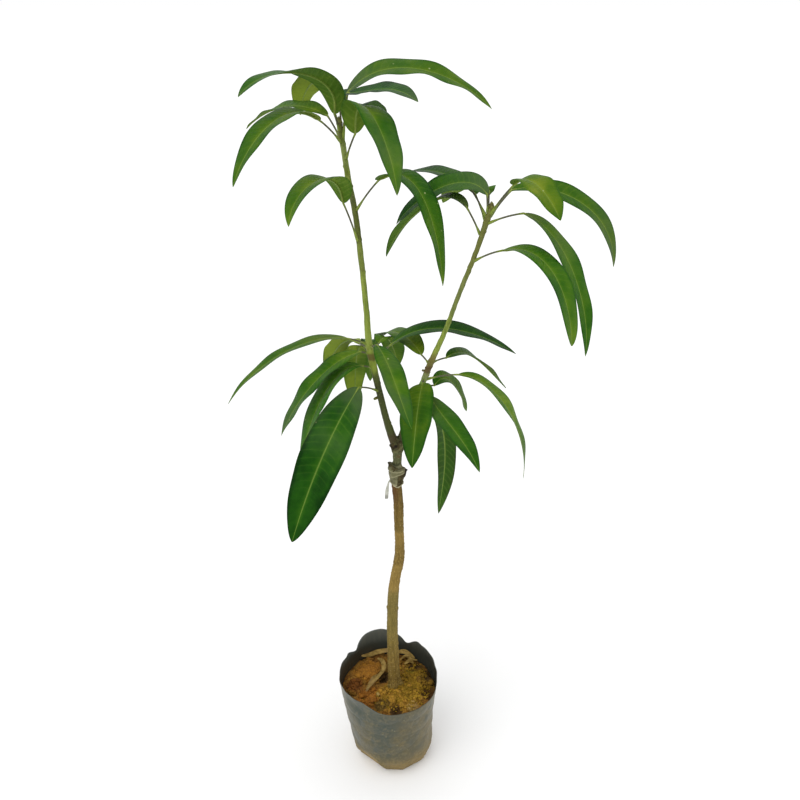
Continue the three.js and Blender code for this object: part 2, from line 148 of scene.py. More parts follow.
# %% Shells
def shell(rows, u, v, finish=0, **marks):
    """Closed faces round rows of points: four-sided patches between rows, and a fan over either end.
    u holds one number for each row, v one for each step round, with one more at the end than there are steps,
    or a pair for each step. marks are named numbers for each point of the rows."""
    count, corners = rows.shape[:2]
    points = np.concatenate([rows.reshape(-1, 3), rows[0].mean(0)[None], rows[-1].mean(0)[None]])
    if v.ndim == 1:
        v = np.stack([v[:-1], v[1:]], -1)
    k = np.arange(corners)
    after = (k + 1) % corners
    start = np.arange(count - 1)[:, None] * corners
    quads = np.stack([start + k, start + after, start + corners + after, start + corners + k], -1)
    low, high, left, right = np.broadcast_arrays(u[:-1, None], u[1:, None], v[:, 0], v[:, 1])
    quad_uv = np.stack([low, left, low, right, high, right, high, left], -1)
    last = (count - 1) * corners
    foot_fan = np.stack([np.full(corners, len(points) - 2), after, k], -1)
    tip_fan = np.stack([np.full(corners, len(points) - 1), last + k, last + after], -1)
    foot, tip, middle = np.full(corners, u[0]), np.full(corners, u[-1]), v.mean(-1)
    foot_uv = np.stack([foot, middle, foot, v[:, 1], foot, v[:, 0]], -1)
    tip_uv = np.stack([tip, middle, tip, v[:, 0], tip, v[:, 1]], -1)
    uv = np.concatenate([some.reshape(-1, 2) for some in (quad_uv, foot_uv, tip_uv)])
    marks = {key: np.append(value, [value[0].mean(), value[-1].mean()]) for key, value in marks.items()}
    return {"points": points, "quads": quads.reshape(-1, 4), "fans": np.concatenate([foot_fan, tip_fan]),
            "uv": uv, "finish": finish, "marks": marks}


sample = shell(np.zeros((3, 4, 3)), np.linspace(0, 1, 3), np.linspace(0, 1, 5))
print("three rows of four points make", len(sample["quads"]), "patches and", len(sample["fans"]), "fan faces")

# %% [markdown]
# A piece is one object made from one or more shells. foreach_set takes whole arrays: the points, the corners
# of all faces in one list, and where each face starts in it. The marks of its points, such as a leaf's tone,
# become attributes, the piece hangs under the frame's root body, and the packed node that it stands for is
# hidden.

# %% Pieces
pieces = {}


def piece(name, shells, finishes, slot, *stands_for):
    """One object from several shells. Its corners are the shells' quads and fans after each other."""
    corner, start, uv, finish = [], [], [], []
    at, before = 0, 0
    for part in shells:
        for faces in (part["quads"], part["fans"]):
            corner.append((faces + before).ravel())
            start.append(at + np.arange(len(faces)) * faces.shape[1])
            at += faces.size
            finish.append(np.full(len(faces), part["finish"]))
        uv.append(part["uv"])
        before += len(part["points"])
    points = np.concatenate([part["points"] for part in shells])
    corner, start = np.concatenate(corner), np.concatenate(start)
    mesh = bpy.data.meshes.new(name)
    mesh.vertices.add(len(points))
    mesh.vertices.foreach_set("co", points.astype(np.float32).ravel())
    mesh.loops.add(len(corner))
    mesh.loops.foreach_set("vertex_index", corner.astype(np.int32))
    mesh.polygons.add(len(start))
    mesh.polygons.foreach_set("loop_start", start.astype(np.int32))
    mesh.polygons.foreach_set("material_index", np.concatenate(finish).astype(np.int32))
    mesh.polygons.foreach_set("use_smooth", np.ones(len(start), bool))
    mesh.update(calc_edges=True)
    layer = mesh.uv_layers.new(name="along_across")
    layer.uv.foreach_set("vector", np.concatenate(uv).astype(np.float32).ravel())
    mesh.validate()
    for key in sorted({key for part in shells for key in part["marks"]}):
        none = [np.zeros(len(part["points"])) for part in shells]
        values = np.concatenate([part["marks"].get(key, zero) for part, zero in zip(shells, none)])
        mesh.attributes.new(key, "FLOAT", "POINT").data.foreach_set("value", values.astype(np.float32))
    for made in finishes:
        mesh.materials.append(made.material)
    obj = bpy.data.objects.new(name, mesh)
    bpy.context.scene.collection.objects.link(obj)
    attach(obj, "root")
    if stands_for:
        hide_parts(*stands_for)
    pieces[name] = len(corner) - 2 * len(start)


print("pieces so far", len(pieces))

# %% [markdown]
# ## Sweeping a section along a path
# A limb is a path with a radius at every knot. Between the knots the path is a centripetal Catmull-Rom
# curve, which passes through each knot without a loop or a corner: the square roots of the distances
# between the knots set how fast it runs. A ring of points is then laid across the path at every step.

# %% Paths
def hermite(knots, share):
    """Points of the centripetal Catmull-Rom curve at shares of its knots, the ends carried on straight."""
    knots = np.asarray(knots, float)
    run = np.clip(share, 0, 1) * (len(knots) - 1)
    k = np.minimum(run.astype(int), len(knots) - 2)
    t = (run - k)[:, None]
    padded = np.concatenate([2 * knots[:1] - knots[1:2], knots, 2 * knots[-1:] - knots[-2:-1]])
    before, here, there, past = (padded[k + step] for step in range(4))
    steps = (here - before, there - here, past - there)
    first, second, third = (np.linalg.norm(step, axis=-1, keepdims=True) ** 0.5 for step in steps)
    across = (there - here) / second
    leave = second * ((here - before) / first - (there - before) / (first + second) + across)
    arrive = second * (across - (past - here) / (second + third) + (past - there) / third)
    bend = -3 * here + 3 * there - 2 * leave - arrive
    return here + leave * t + bend * t**2 + (2 * here - 2 * there + leave + arrive) * t**3


class Limb:
    """A round limb through knots of x, y, z and radius in millimetres."""

    def __init__(self, knots):
        self.knots = np.array(knots, float) * MM

    def at(self, share):
        return hermite(self.knots[:, :3], share)

    def radius(self, share):
        return np.interp(share * (len(self.knots) - 1), np.arange(len(self.knots)), self.knots[:, 3])

    def along(self, share, step=1e-4):
        return unit(self.at(np.minimum(share + step, 1)) - self.at(np.maximum(share - step, 0)))

    def share_at(self, height):
        """Where the limb is at a height: its own heights, read the other way round."""
        shares = np.linspace(0, 1, 4001)
        return np.interp(height, self.at(shares)[:, 2], shares)


corner_path = hermite([(0, 0, 0), (1, 0, 0), (1, 1, 0)], np.array([0.25]))
print("a path round a corner bows out to", corner_path.round(3).tolist())

# %% [markdown]
# A ring needs two directions across the path. The side is the part of a hint that is square to the path, and
# the top is square to both, so neither flips where the path bends. A relief then moves every point of the
# rings out or in. It reads the points of the smooth surface, so it can be any formula of the place.

# %% Rings
def frames(along, hint):
    """A side that is square to the path and nearest to hint, and the top that is square to both."""
    side = unit(hint - along * (along * hint).sum(-1, keepdims=True))
    return side, np.cross(along, side)


def rings(centre, side, top, wide, deep, corners):
    """Ovals across a path: each point is centre + side wide cos(a) + top deep sin(a)."""
    a = TURN * np.arange(corners) / corners
    across = side[:, None] * (wide * np.cos(a))[..., None]
    return centre[:, None] + across + top[:, None] * (deep * np.sin(a))[..., None]


def limb_rows(limb, shares, corners, relief):
    """Rings along a limb, moved out by relief(points, angle, height), a function of the smooth surface."""
    centre, along = limb.at(shares), limb.along(shares)
    side, top = frames(along, RIGHT)
    radius = limb.radius(shares)[:, None] * np.ones(corners)
    rows = rings(centre, side, top, radius, radius, corners)
    angle = np.broadcast_to(TURN * np.arange(corners) / corners, radius.shape)
    radius = radius + relief(rows, angle, rows[..., 2])
    return rings(centre, side, top, radius, radius, corners)


def round_steps(corners):
    """The v of a ring: 0 to 1 once round."""
    return np.linspace(0, 1, corners + 1)


def even_shell(rows, finish=0):
    """A shell whose u runs evenly from 0 at its first row to 1 at its last, and v from 0 to 1 round it."""
    return shell(rows, np.linspace(0, 1, len(rows)), round_steps(rows.shape[1]), finish)


sample_ring = rings(np.zeros((1, 3)), RIGHT[None], UP[None], np.ones((1, 1)), np.ones((1, 1)), 4)
print("a ring of four points", sample_ring.round(3).tolist())

# %% [markdown]
# ## Shader maths as plain arithmetic
# A material in Blender is a graph of nodes. Written node by node it is long and hard to follow, so two small
# classes stand between. The first is a Value: a socket that can be added, multiplied and compared as a number
# can.

# %% Values
class Value:
    """An output socket. Its operators add Math nodes to the finish that it belongs to."""

    def __init__(self, finish, socket):
        self.finish = finish
        self.socket = socket

    def maths(self, operation, *others):
        inputs = dict(enumerate((self, *others)))
        return self.finish.node("ShaderNodeMath", {"operation": operation}, inputs)

    def __add__(self, other):
        return self.maths("ADD", other)

    def __sub__(self, other):
        return self.maths("SUBTRACT", other)

    def __rsub__(self, other):
        return self.finish.node("ShaderNodeMath", {"operation": "SUBTRACT"}, {0: other, 1: self})

    def __mul__(self, other):
        return self.maths("MULTIPLY", other)

    def __pow__(self, other):
        return self.maths("POWER", other)

    def __abs__(self):
        return self.maths("ABSOLUTE")

    def __gt__(self, other):
        return self.maths("GREATER_THAN", other)

    __radd__ = __add__
    __rmul__ = __mul__

    def band(self, low, high):
        """0 below low, 1 above high and smooth between; with low above high it falls instead."""
        inputs = {"Value": self, "From Min": min(low, high), "From Max": max(low, high)}
        made = self.finish.node("ShaderNodeMapRange", {"interpolation_type": "SMOOTHSTEP"}, inputs)
        return 1 - made if low > high else made


print("a value's methods", [name.strip("_") for name, made in vars(Value).items() if callable(made)])

# %% [markdown]
# The second is a Finish: a material with one method that makes any node. Colours go through Mix nodes,
# because a Math node would turn them grey. Every pattern reads the place on the object, the piece's own UV
# map or a number that its points carry.

# %% Finishes
class Finish:
    """A material on a Principled shader, whose fixed numbers are set straight on its sockets."""

    def __init__(self, name, **fixed):
        self.material = bpy.data.materials.new(name)
        self.material.use_nodes = True
        self.tree = self.material.node_tree
        self.shader = self.tree.nodes["Principled BSDF"]
        for socket, value in fixed.items():
            self.shader.inputs[socket.replace("_", " ")].default_value = value
        self.place = self.node("ShaderNodeTexCoord", output="Object")

    def feed(self, socket, value):
        if isinstance(value, Value):
            self.tree.links.new(value.socket, socket)
        elif isinstance(value, (int, float)):
            socket.default_value = value
        else:
            socket.default_value = (*value, 1.0) if socket.type == "RGBA" else value

    def node(self, kind, settings=None, inputs=None, output=0):
        """A new node's output. Its settings come first, and stops are a ramp's pairs of a share and a colour;
        then the values or links of its sockets."""
        made = self.tree.nodes.new(kind)
        for key, value in (settings or {}).items():
            if key == "stops":
                self.set_stops(made.color_ramp.elements, value)
            else:
                setattr(made, key, value)
        for key, value in (inputs or {}).items():
            self.feed(made.inputs[key], value)
        return Value(self, made.outputs[output])

    def mix(self, share, first, second, blend="MIX"):
        """The first colour, with a share of the second laid over it."""
        settings = {"data_type": "RGBA", "blend_type": blend}
        return self.node("ShaderNodeMix", settings, {0: share, 6: first, 7: second}, output=2)

    def set_stops(self, elements, stops):
        while len(elements) < len(stops):
            elements.new(1.0)
        for element, (place, colour) in zip(elements, stops):
            element.position = place
            element.color = (*colour, 1.0)

    def ramp(self, share, stops):
        """A colour from a ramp."""
        return self.node("ShaderNodeValToRGB", {"stops": stops}, {"Fac": share})

    def noise(self, scale, detail=2.0, rough=0.5, place=None):
        inputs = {"Vector": place or self.place, "Scale": scale, "Detail": detail, "Roughness": rough}
        return self.node("ShaderNodeTexNoise", None, inputs)

    def facets(self, scale, feature="DISTANCE_TO_EDGE", place=None):
        inputs = {"Vector": place or self.place, "Scale": scale}
        return self.node("ShaderNodeTexVoronoi", {"feature": feature}, inputs)

    def stretched(self, *factors):
        return self.node("ShaderNodeVectorMath", {"operation": "MULTIPLY"}, {0: self.place, 1: factors})

    def part(self, vector, axis):
        return self.node("ShaderNodeSeparateXYZ", None, {0: vector}, output=axis)

    def uv(self):
        vector = self.node("ShaderNodeUVMap", {"uv_map": "along_across"})
        return self.part(vector, "X"), self.part(vector, "Y")

    def mark(self, name):
        """A number that the mesh carries at its points."""
        return self.node("ShaderNodeAttribute", {"attribute_name": name}, output="Fac")

    def far_from(self, x, y, z):
        """Distance in metres from a spot that is given in millimetres."""
        spot = (x * MM, y * MM, z * MM)
        inputs = {0: self.place, 1: spot}
        return self.node("ShaderNodeVectorMath", {"operation": "DISTANCE"}, inputs, output="Value")

    def spot(self, x, y, z, radius, wander):
        """1 within a ragged spot that is given in millimetres, whose edge is moved by the value wander."""
        return (self.far_from(x, y, z) + wander).band(radius * 1.15 * MM, radius * 0.75 * MM)

    def surface(self, colour, roughness=None, height=None, depth=0.5, strength=1.0):
        """Feeds the shader: its colour, its roughness, and a bump from a height, in which 1 stands for depth
        millimetres."""
        self.feed(self.shader.inputs["Base Color"], colour)
        if roughness is not None:
            self.feed(self.shader.inputs["Roughness"], roughness)
        if height is not None:
            inputs = {"Height": height, "Distance": depth * MM, "Strength": strength}
            self.feed(self.shader.inputs["Normal"], self.node("ShaderNodeBump", None, inputs))
        return self


print("a finish's methods", [name.strip("_") for name, made in vars(Finish).items() if callable(made)])

# %% [markdown]
# ## The studio
# A plain pale floor runs far enough back to fill the picture. A white world lights everything softly from all
# round, and one broad sun, high on the left in front, gives the leaves a lit side and the bag a faint shadow.
# A sun shines with the same strength everywhere, so the floor stays evenly white to its far edge.

# %% Floor and light
FLOOR_REACH = 2000.0
FLOOR_SIDES = 64
floor_finish = Finish("studio_floor", Roughness=1.0, Specular_IOR_Level=0.0).surface((0.87, 0.87, 0.87))
floor_mesh = bpy.data.meshes.new("studio_floor")
floor_angle = TURN * np.arange(FLOOR_SIDES) / FLOOR_SIDES
floor_edge = FLOOR_REACH * np.stack([np.cos(floor_angle), np.sin(floor_angle), 0 * floor_angle], -1)
floor_mesh.from_pydata(floor_edge.tolist(), [], [range(FLOOR_SIDES)])
floor_mesh.materials.append(floor_finish.material)
floor = bpy.data.objects.new("studio_floor", floor_mesh)
bpy.context.scene.collection.objects.link(floor)

world = bpy.data.worlds.new("studio")
world.use_nodes = True
world.node_tree.nodes["Background"].inputs["Color"].default_value = (1.0, 1.0, 1.0, 1.0)
world.node_tree.nodes["Background"].inputs["Strength"].default_value = 1.0
bpy.context.scene.world = world
bpy.context.scene.view_settings.view_transform = "Standard"

sun_data = bpy.data.lights.new("broad_sun", "SUN")
sun_data.energy = 1.1
sun_data.angle = math.radians(50)
sun = bpy.data.objects.new("broad_sun", sun_data)
sun.rotation_euler = Vector((-0.45, -0.55, 1.0)).to_track_quat("Z", "Y").to_euler()
bpy.context.scene.collection.objects.link(sun)
print("sun of", round(sun_data.energy, 2), "over a floor of", FLOOR_REACH, "m")

# %% [markdown]
# ## The bag
# A nursery bag is a tube of black film with a flat base. Earth fills it to a finger or two below its rim, so
# the wall below is pressed out into shallow facets and creases, and the free rim above is thin, wavy and
# uneven. A cloth simulation would give a new crumple each time it is changed. Here the wall is a profile
# turned about a leaning axis, with the facets from cells, and every crease stays where it is put.
# Its tables hold pairs: heights and radii of the wall, turns in degrees and distances of its flat sides, and
# turns and heights of its rim.

# %% The bag's wall
LEAN = -0.06  # how far the bag leans towards +X for each millimetre up
WALL = [(0, 54), (1.5, 56), (6, 60.5), (14, 65.5), (37, 69.4), (79, 73.0), (121, 77.6), (140, 80.2),
        (200, 84.5)]
SIDES = [(230, 47), (268, 50.5), (303, 51), (336, 54), (12, 55), (55, 54), (98, 55), (140, 54), (188, 57)]
RIM = [(0, 167), (22, 172), (40, 176), (51, 179), (58, 176), (65, 170), (76, 182), (96, 191), (110, 190),
       (120, 186), (129, 178), (137, 168), (152, 173), (180, 171), (210, 168), (240, 168), (270, 156),
       (300, 152), (330, 152), (345, 158), (360, 167)]
GROUND = 146  # height of the earth in millimetres
FILM = 0.45  # thickness of the film in millimetres


def rim_height(angle):
    """Height of the rim in millimetres at an angle: straight between its marks, then averaged over 8
    degrees."""
    marks = np.array(RIM, float)
    spread = np.linspace(-4, 4, 9)
    degrees = (np.degrees(angle)[..., None] + spread) % 360
    return np.interp(degrees, marks[:, 0], marks[:, 1]).mean(-1)


def bag_radius(height, angle):
    """Radius of the plain wall in millimetres: the profile averaged over 5 mm, with three and five shallow
    bulges round, and drawn in a little half-way up on the right."""
    heights, radii = np.array(WALL, float).T
    steps = np.linspace(-2.5, 2.5, 7)
    plain = np.interp(height[..., None] + steps * ease(height, 0, 5)[..., None], heights, radii).mean(-1)
    drawn_in = 2.4 * ease(height, 5, 60) * ease(height, 170, 120) * np.maximum(np.cos(angle), 0)
    return plain * (1 + 0.012 * np.cos(3 * angle + 1) + 0.008 * np.cos(5 * angle + 2.2)) - drawn_in


def bag_point(radius, height, angle):
    """From radius, height and angle to a point in metres on the leaning bag."""
    x = LEAN * height + radius * np.cos(angle)
    return np.stack([x, radius * np.sin(angle), height], -1) * MM


def flat_sides(height, angle):
    """How far out the film may be near the base, in millimetres: it is stretched flat between its corners, so
    each side is a straight line, distance / cos(angle from the side's middle), that opens out upwards."""
    nearest = np.full(height.shape, 200.0)
    for turn, distance in SIDES:
        away = np.cos(angle - math.radians(turn))
        nearest = np.minimum(nearest, (distance + 0.52 * height) / np.maximum(away, 0.3))
    return nearest


def filled_wall(height, angle):
    """Radius in millimetres of the wall before its relief: the round one, cut by the flat sides."""
    return np.minimum(bag_radius(height, angle), flat_sides(height, angle))


print("rim heights on the right and the left", rim_height(np.array([0.0, math.pi])).round(1).tolist(), "mm")

# %% [markdown]
# The film's own forms lie on that wall. Where earth presses it, cells give flat facets that meet in creases,
# and round the base it is gathered. Above the earth nothing holds it, so slow waves take over, with a dent, a
# tuck and a notch in the rim. Each form is faded in and out by the height.

# %% The film's relief
def film_relief(height, angle):
    """Millimetres that the film stands out: facets and creases where it is filled, arcs and gathers round the
    base, free waves above the earth, a dent in the rim, and a tuck and a notch at their own degrees."""
    flat = np.stack([75 * np.cos(angle), 75 * np.sin(angle), height], -1)
    slanted = flat * [1, 1, 1.7] + [0, 0, 14] * np.sin(2 * angle)[..., None]
    broad, crease = cells(slanted, 46, 3)
    fine, fold = cells(flat * [1.3, 1.3, 1], 19, 8)
    filled = 2.4 * (0.55 - broad) - 0.35 * np.exp(-16 * crease)
    filled = filled + 0.7 * (0.5 - fine) - 0.15 * np.exp(-14 * fold)
    arcs = 0.5 * np.cos(TURN * (height + 5 * np.sin(2 * angle + 0.6)) / 9.5) * ease(height, 48, 12)
    gathers = 0.5 * np.cos(13 * angle + 2 * waves(flat, 60, 5)) + 0.35 * np.cos(31 * angle)
    gathers = ease(height, 34, 4) * gathers
    pressed = ease(height, 0, 8) * (filled * ease(height, 168, 130) + arcs + gathers)
    free = 1.5 * waves(flat * [1, 1, 0.25], 62, 14) + 0.7 * waves(flat * [1, 1, 0.4], 20, 12)
    degrees = np.degrees(angle)
    dent = -6.5 * hump(degrees - 234, 30) * ease(height, 118, 160)
    tuck = -3.0 * hump(degrees - 66, 7) + 3.0 * hump(degrees - 53, 9)
    notch = -3.5 * hump(degrees - 137, 6) + 2.0 * hump(degrees - 147, 7)
    return pressed + ease(height, 138, 172) * free + dent + ease(height, 150, 178) * (tuck + notch)


sample_relief = film_relief(np.full(72, 60.0), TURN * np.arange(72) / 72)
print("60 mm up, the film lies", sample_relief.min().round(1), "to", sample_relief.max().round(1), "mm out")

# %% [markdown]
# The bag is one closed skin. Its rows run from the middle of the base up the outer side, over the rim and
# down the inner side, one film's thickness further in, to below the earth. They stand closer near the base,
# where the film curves most.

# %% The film's surface
BAG_CORNERS = 380
HIDDEN_ROWS = 8  # the inner wall's lowest rows, which the earth covers
bag_angle = TURN * np.arange(BAG_CORNERS) / BAG_CORNERS
bag_share = np.concatenate([np.linspace(0, 0.12, 30, endpoint=False), np.linspace(0.12, 1, 102)])
bag_height = bag_share[:, None] * rim_height(bag_angle)
bag_angles = np.broadcast_to(bag_angle, bag_height.shape)
bag_out = filled_wall(bag_height, bag_angles) + film_relief(bag_height, bag_angles)
rim_curl = 1.2 * ease(bag_share, 0.975, 1.0)[:, None] * (0.4 + 0.6 * np.sin(3 * bag_angle + 1.0))
outer = bag_point(bag_out + rim_curl, bag_height, bag_angles)
inner = bag_point(bag_out + rim_curl - FILM, bag_height, bag_angles)[::-1]
disc = np.array([0.3, 0.7, 0.93])[:, None]
disc_angles = 0 * disc + bag_angle
base = bag_point(disc * bag_out[0], 0 * disc_angles, disc_angles)
film_rows = np.concatenate([base, outer, inner[:-HIDDEN_ROWS]])
print("bag rows", film_rows.shape)

# %% [markdown]
# The film is black, but it never looks black: it is smooth enough to mirror the pale room, and the wet earth
# has left a veil of ochre dust on it, thickest near the base, with more at both sides and one rust-brown
# spot. The dust is a second colour that noise and height lay over the first, and it is rougher than the clean
# film.

# %% The film's finish outside
film = Finish("bag_film", Roughness=0.45, Specular_IOR_Level=0.28)
film_x, film_z = (film.part(film.place, axis) for axis in "XZ")
smear = film.noise(16, 4, 0.6, film.stretched(1, 1, 0.55))
grit = film.noise(210, 3, 0.65)
mottle = film.noise(58, 3, 0.6)
low_down = (film_z + 0.05 * (smear - 0.5)).band(0.062, 0.018)
near_rim = film_z.band(0.10, 0.15) * 0.15
veil = smear.band(0.38, 0.75) * 0.35 + mottle.band(0.42, 0.75) * 0.3 + low_down * 1.1 - near_rim - 0.06
clean = film.mix(smear.band(0.35, 0.65), (0.046, 0.058, 0.045), (0.080, 0.076, 0.045))
clean = film.mix(grit.band(0.42, 0.66) * mottle.band(0.3, 0.6) * 0.6, clean, (0.135, 0.120, 0.070))
dusty = film.mix(grit.band(0.35, 0.7), (0.130, 0.094, 0.028), (0.225, 0.165, 0.058))
film_colour = film.mix(veil * (0.5 + 0.6 * grit), clean, dusty)
ragged_x = film_x + 0.02 * mottle
side_dust = ragged_x.band(0.030, 0.072) * 0.5 + ragged_x.band(-0.045, -0.085) * 0.35
film_colour = film.mix(side_dust * mottle.band(0.2, 0.6), film_colour, (0.19, 0.155, 0.080))
ochre = low_down * smear.band(0.3, 0.55) * 0.45 + 0.6 * film.spot(-42, -38, 14, 30, 0.02 * mottle)
film_colour = film.mix(ochre.band(0, 1) * mottle.band(0.2, 0.5), film_colour, (0.300, 0.215, 0.095))
rust = film.spot(66, -8, 20, 26, 0.015 * mottle) * mottle.band(0.3, 0.5)
film_colour = film.mix(0.75 * rust, film_colour, (0.085, 0.030, 0.012))
specks = film.facets(130, "F1").band(0.2, 0.1) * film.noise(40).band(0.5, 0.62)
film_colour = film.mix(0.6 * specks, film_colour, (0.28, 0.25, 0.14))
print("nodes of the film outside", len(film.tree.nodes))

# %% [markdown]
# The film's u is the share of the way up its outer side, and it runs on from 1.02 down the inner one, so a
# band of u tells the two sides apart. The inner side is dark where the earth shades it and greyer near the
# rim, a little bluish on the left, soiled just above the earth, and streaked. The rim itself is a dark line.

# %% The film's finish inside
film_way = film.uv()[0]
inside = film_way.band(1.005, 1.01)
soiled = film_z.band(0.168, 0.148) * mottle.band(0.3, 0.6)
inner_tone = film.mix(film_z.band(0.160, 0.190), (0.023, 0.027, 0.023), (0.078, 0.086, 0.076))
bluish = film_z.band(0.158, 0.176) * film_x.band(0.010, -0.030)
inner_tone = film.mix(bluish * 0.5, inner_tone, (0.090, 0.100, 0.088))
inner_tone = film.mix(soiled * 0.35 * film_x.band(-0.02, -0.04), inner_tone, (0.060, 0.036, 0.014))
streaks = film.noise(120, 3, 0.6, film.stretched(1, 1, 0.15)).band(0.42, 0.62)
inner_tone = film.mix(streaks * film_z.band(0.16, 0.18) * 0.45, inner_tone, (0.110, 0.110, 0.088))
film_colour = film.mix(inside * 0.92, film_colour, inner_tone)
rim_line = film_way.band(0.982, 0.996) * film_way.band(1.03, 1.01)
film_colour = film.mix(rim_line * 0.3, film_colour, (0.020, 0.020, 0.016))
film_height = mottle * 0.6 + grit * 0.4
film.surface(film_colour, 0.36 + 0.3 * veil + 0.08 * grit, film_height, 0.6, 0.8)

film_u = np.concatenate([[-0.3, -0.2, -0.1], bag_share, 1.02 + bag_share[:-HIDDEN_ROWS]])
piece("film_bag", [shell(film_rows, film_u, round_steps(BAG_CORNERS))], [film], "bag", "bag")
print("film_bag", pieces["film_bag"], "triangles")

# %% [markdown]
# ## The earth in the bag
# Potting earth is lumps of every size. The large forms, such as the hollow beside the trunk and the red clod
# on the left, are humps at their own places. Cells give the clods, with deep gaps between them, at three
# sizes. A few hundred loose crumbs lie on top, each a small closed lump with its own size and form.
# A hump's row gives its x and y, its rise and its radius in millimetres.

# %% The earth's surface
HUMPS = [(-17, 15, -9, 13), (56, -14, -8, 11), (4, -59, -8, 9), (-66, 2, 7, 17), (-43, 28, 8, 24),
         (33, -52, 5, 13), (-6, -38, 3, 28), (38, 12, 4, 30), (20, 44, -3, 16), (-30, -34, 3, 18),
         (-52, -28, -4, 14), (64, 20, -4, 14), (-55, 14, -4, 8)]


def ground(x, y):
    """Height of the earth in millimetres: level, lower at the film, with the humps and three sizes of clods,
    which the big golden lump on the left is almost free of."""
    out = np.minimum(1, np.hypot(x + 9, y) / 79)
    height = GROUND - 0.3 - 6 * out**3
    for hump_x, hump_y, rise, radius in HUMPS:
        height = height + rise * hump(np.hypot(x - hump_x, y - hump_y), radius)
    flat = np.stack([x, y, 0 * x], -1)
    flat = flat + 2.5 * np.stack([waves(flat, 22, 31), waves(flat, 22, 32), 0 * x], -1)
    rough = 1 - 0.75 * hump(np.hypot(x + 43, y - 27), 26)
    for spacing, rise, seed in ((21, 4.2, 21), (9, 2.2, 22), (3.8, 0.9, 23)):
        near, gap = cells(flat, spacing, seed)
        height = height + rise * rough * (np.minimum(gap * 2.2, 1) ** 0.6 * 0.55 + 0.45 * (1 - near) - 0.45)
    return height + 0.5 * waves(flat, 3, 33)


EARTH_CORNERS = 300
earth_angle = TURN * np.arange(EARTH_CORNERS) / EARTH_CORNERS
edge_height = np.full(EARTH_CORNERS, GROUND - 7.0)
earth_edge = filled_wall(edge_height, earth_angle) + film_relief(edge_height, earth_angle) - FILM - 0.3
earth_share = np.linspace(1, 0.012, 96)[:, None]
earth_x = LEAN * edge_height + earth_share * earth_edge * np.cos(earth_angle)
earth_y = earth_share * earth_edge * np.sin(earth_angle)
earth_top = np.stack([earth_x, earth_y, ground(earth_x, earth_y)], -1) * MM
skirt_height = np.array([20.0, 60.0, 100.0, 126.0])[:, None] + 0 * earth_angle
skirt_angle = 0 * skirt_height + earth_angle
skirt = bag_point(filled_wall(skirt_height, skirt_angle) - 6, skirt_height, skirt_angle)
earth_rows = np.concatenate([skirt, earth_top])
print("earth rows", earth_rows.shape)

# %% [markdown]
# The earth's colours lie in patches: golden on the left, one dark red clod, olive on the right and a pale
# clod in front. Some patches are painted shade instead: dark along the right wall, in a gap on the right, in
# the hollow beside the trunk and in a pit in front. Each patch is the distance from its middle with a ragged
# edge, laid over brown earth, and grains of two sizes break it up. The gaps between clods are darker,
# because no light reaches them. A row gives a patch's middle and radius in millimetres, and the two colours
# that its lumps vary between.

# %% The earth's finish
# Seven rows are painted shade on the earth: the dark patches at (29, 26), (60, 18), (36, 40) and (62, -20)
# along the shaded right wall, the dark gap at (31, 35), the hollow beside the trunk at (-17, 14) and the pit
# in front at (4, -60).
EARTH_PATCHES_AND_SHADE = [
    (-43, 26, 154, 30, (0.37, 0.165, 0.018), (0.29, 0.120, 0.014)),
    (-40, -32, 150, 24, (0.34, 0.130, 0.014), (0.25, 0.092, 0.011)),
    (-68, -6, 154, 19, (0.175, 0.055, 0.008), (0.110, 0.034, 0.006)),
    (40, 4, 150, 36, (0.235, 0.138, 0.013), (0.165, 0.090, 0.010)),
    (4, -32, 150, 34, (0.44, 0.245, 0.028), (0.33, 0.175, 0.020)),
    (-8, 40, 150, 15, (0.26, 0.150, 0.024), (0.19, 0.100, 0.018)),
    (29, 26, 150, 11, (0.095, 0.070, 0.007), (0.060, 0.042, 0.005)),
    (33, -53, 152, 14, (0.42, 0.28, 0.09), (0.31, 0.19, 0.055)),
    (60, 18, 148, 20, (0.040, 0.022, 0.005), (0.025, 0.013, 0.004)),
    (36, 40, 148, 12, (0.060, 0.032, 0.006), (0.035, 0.019, 0.004)),
    (62, -20, 144, 18, (0.060, 0.026, 0.006), (0.030, 0.013, 0.005)),
    (-36, 60, 148, 13, (0.27, 0.12, 0.020), (0.18, 0.080, 0.014)),
    (-20, -50, 147, 13, (0.140, 0.090, 0.018), (0.090, 0.056, 0.012)),
    (31, 35, 148, 11, (0.030, 0.016, 0.004), (0.020, 0.011, 0.003)),
    (-17, 14, 142, 14, (0.022, 0.013, 0.004), (0.040, 0.022, 0.007)),
    (4, -60, 144, 11, (0.030, 0.014, 0.006), (0.05, 0.025, 0.009)),
]


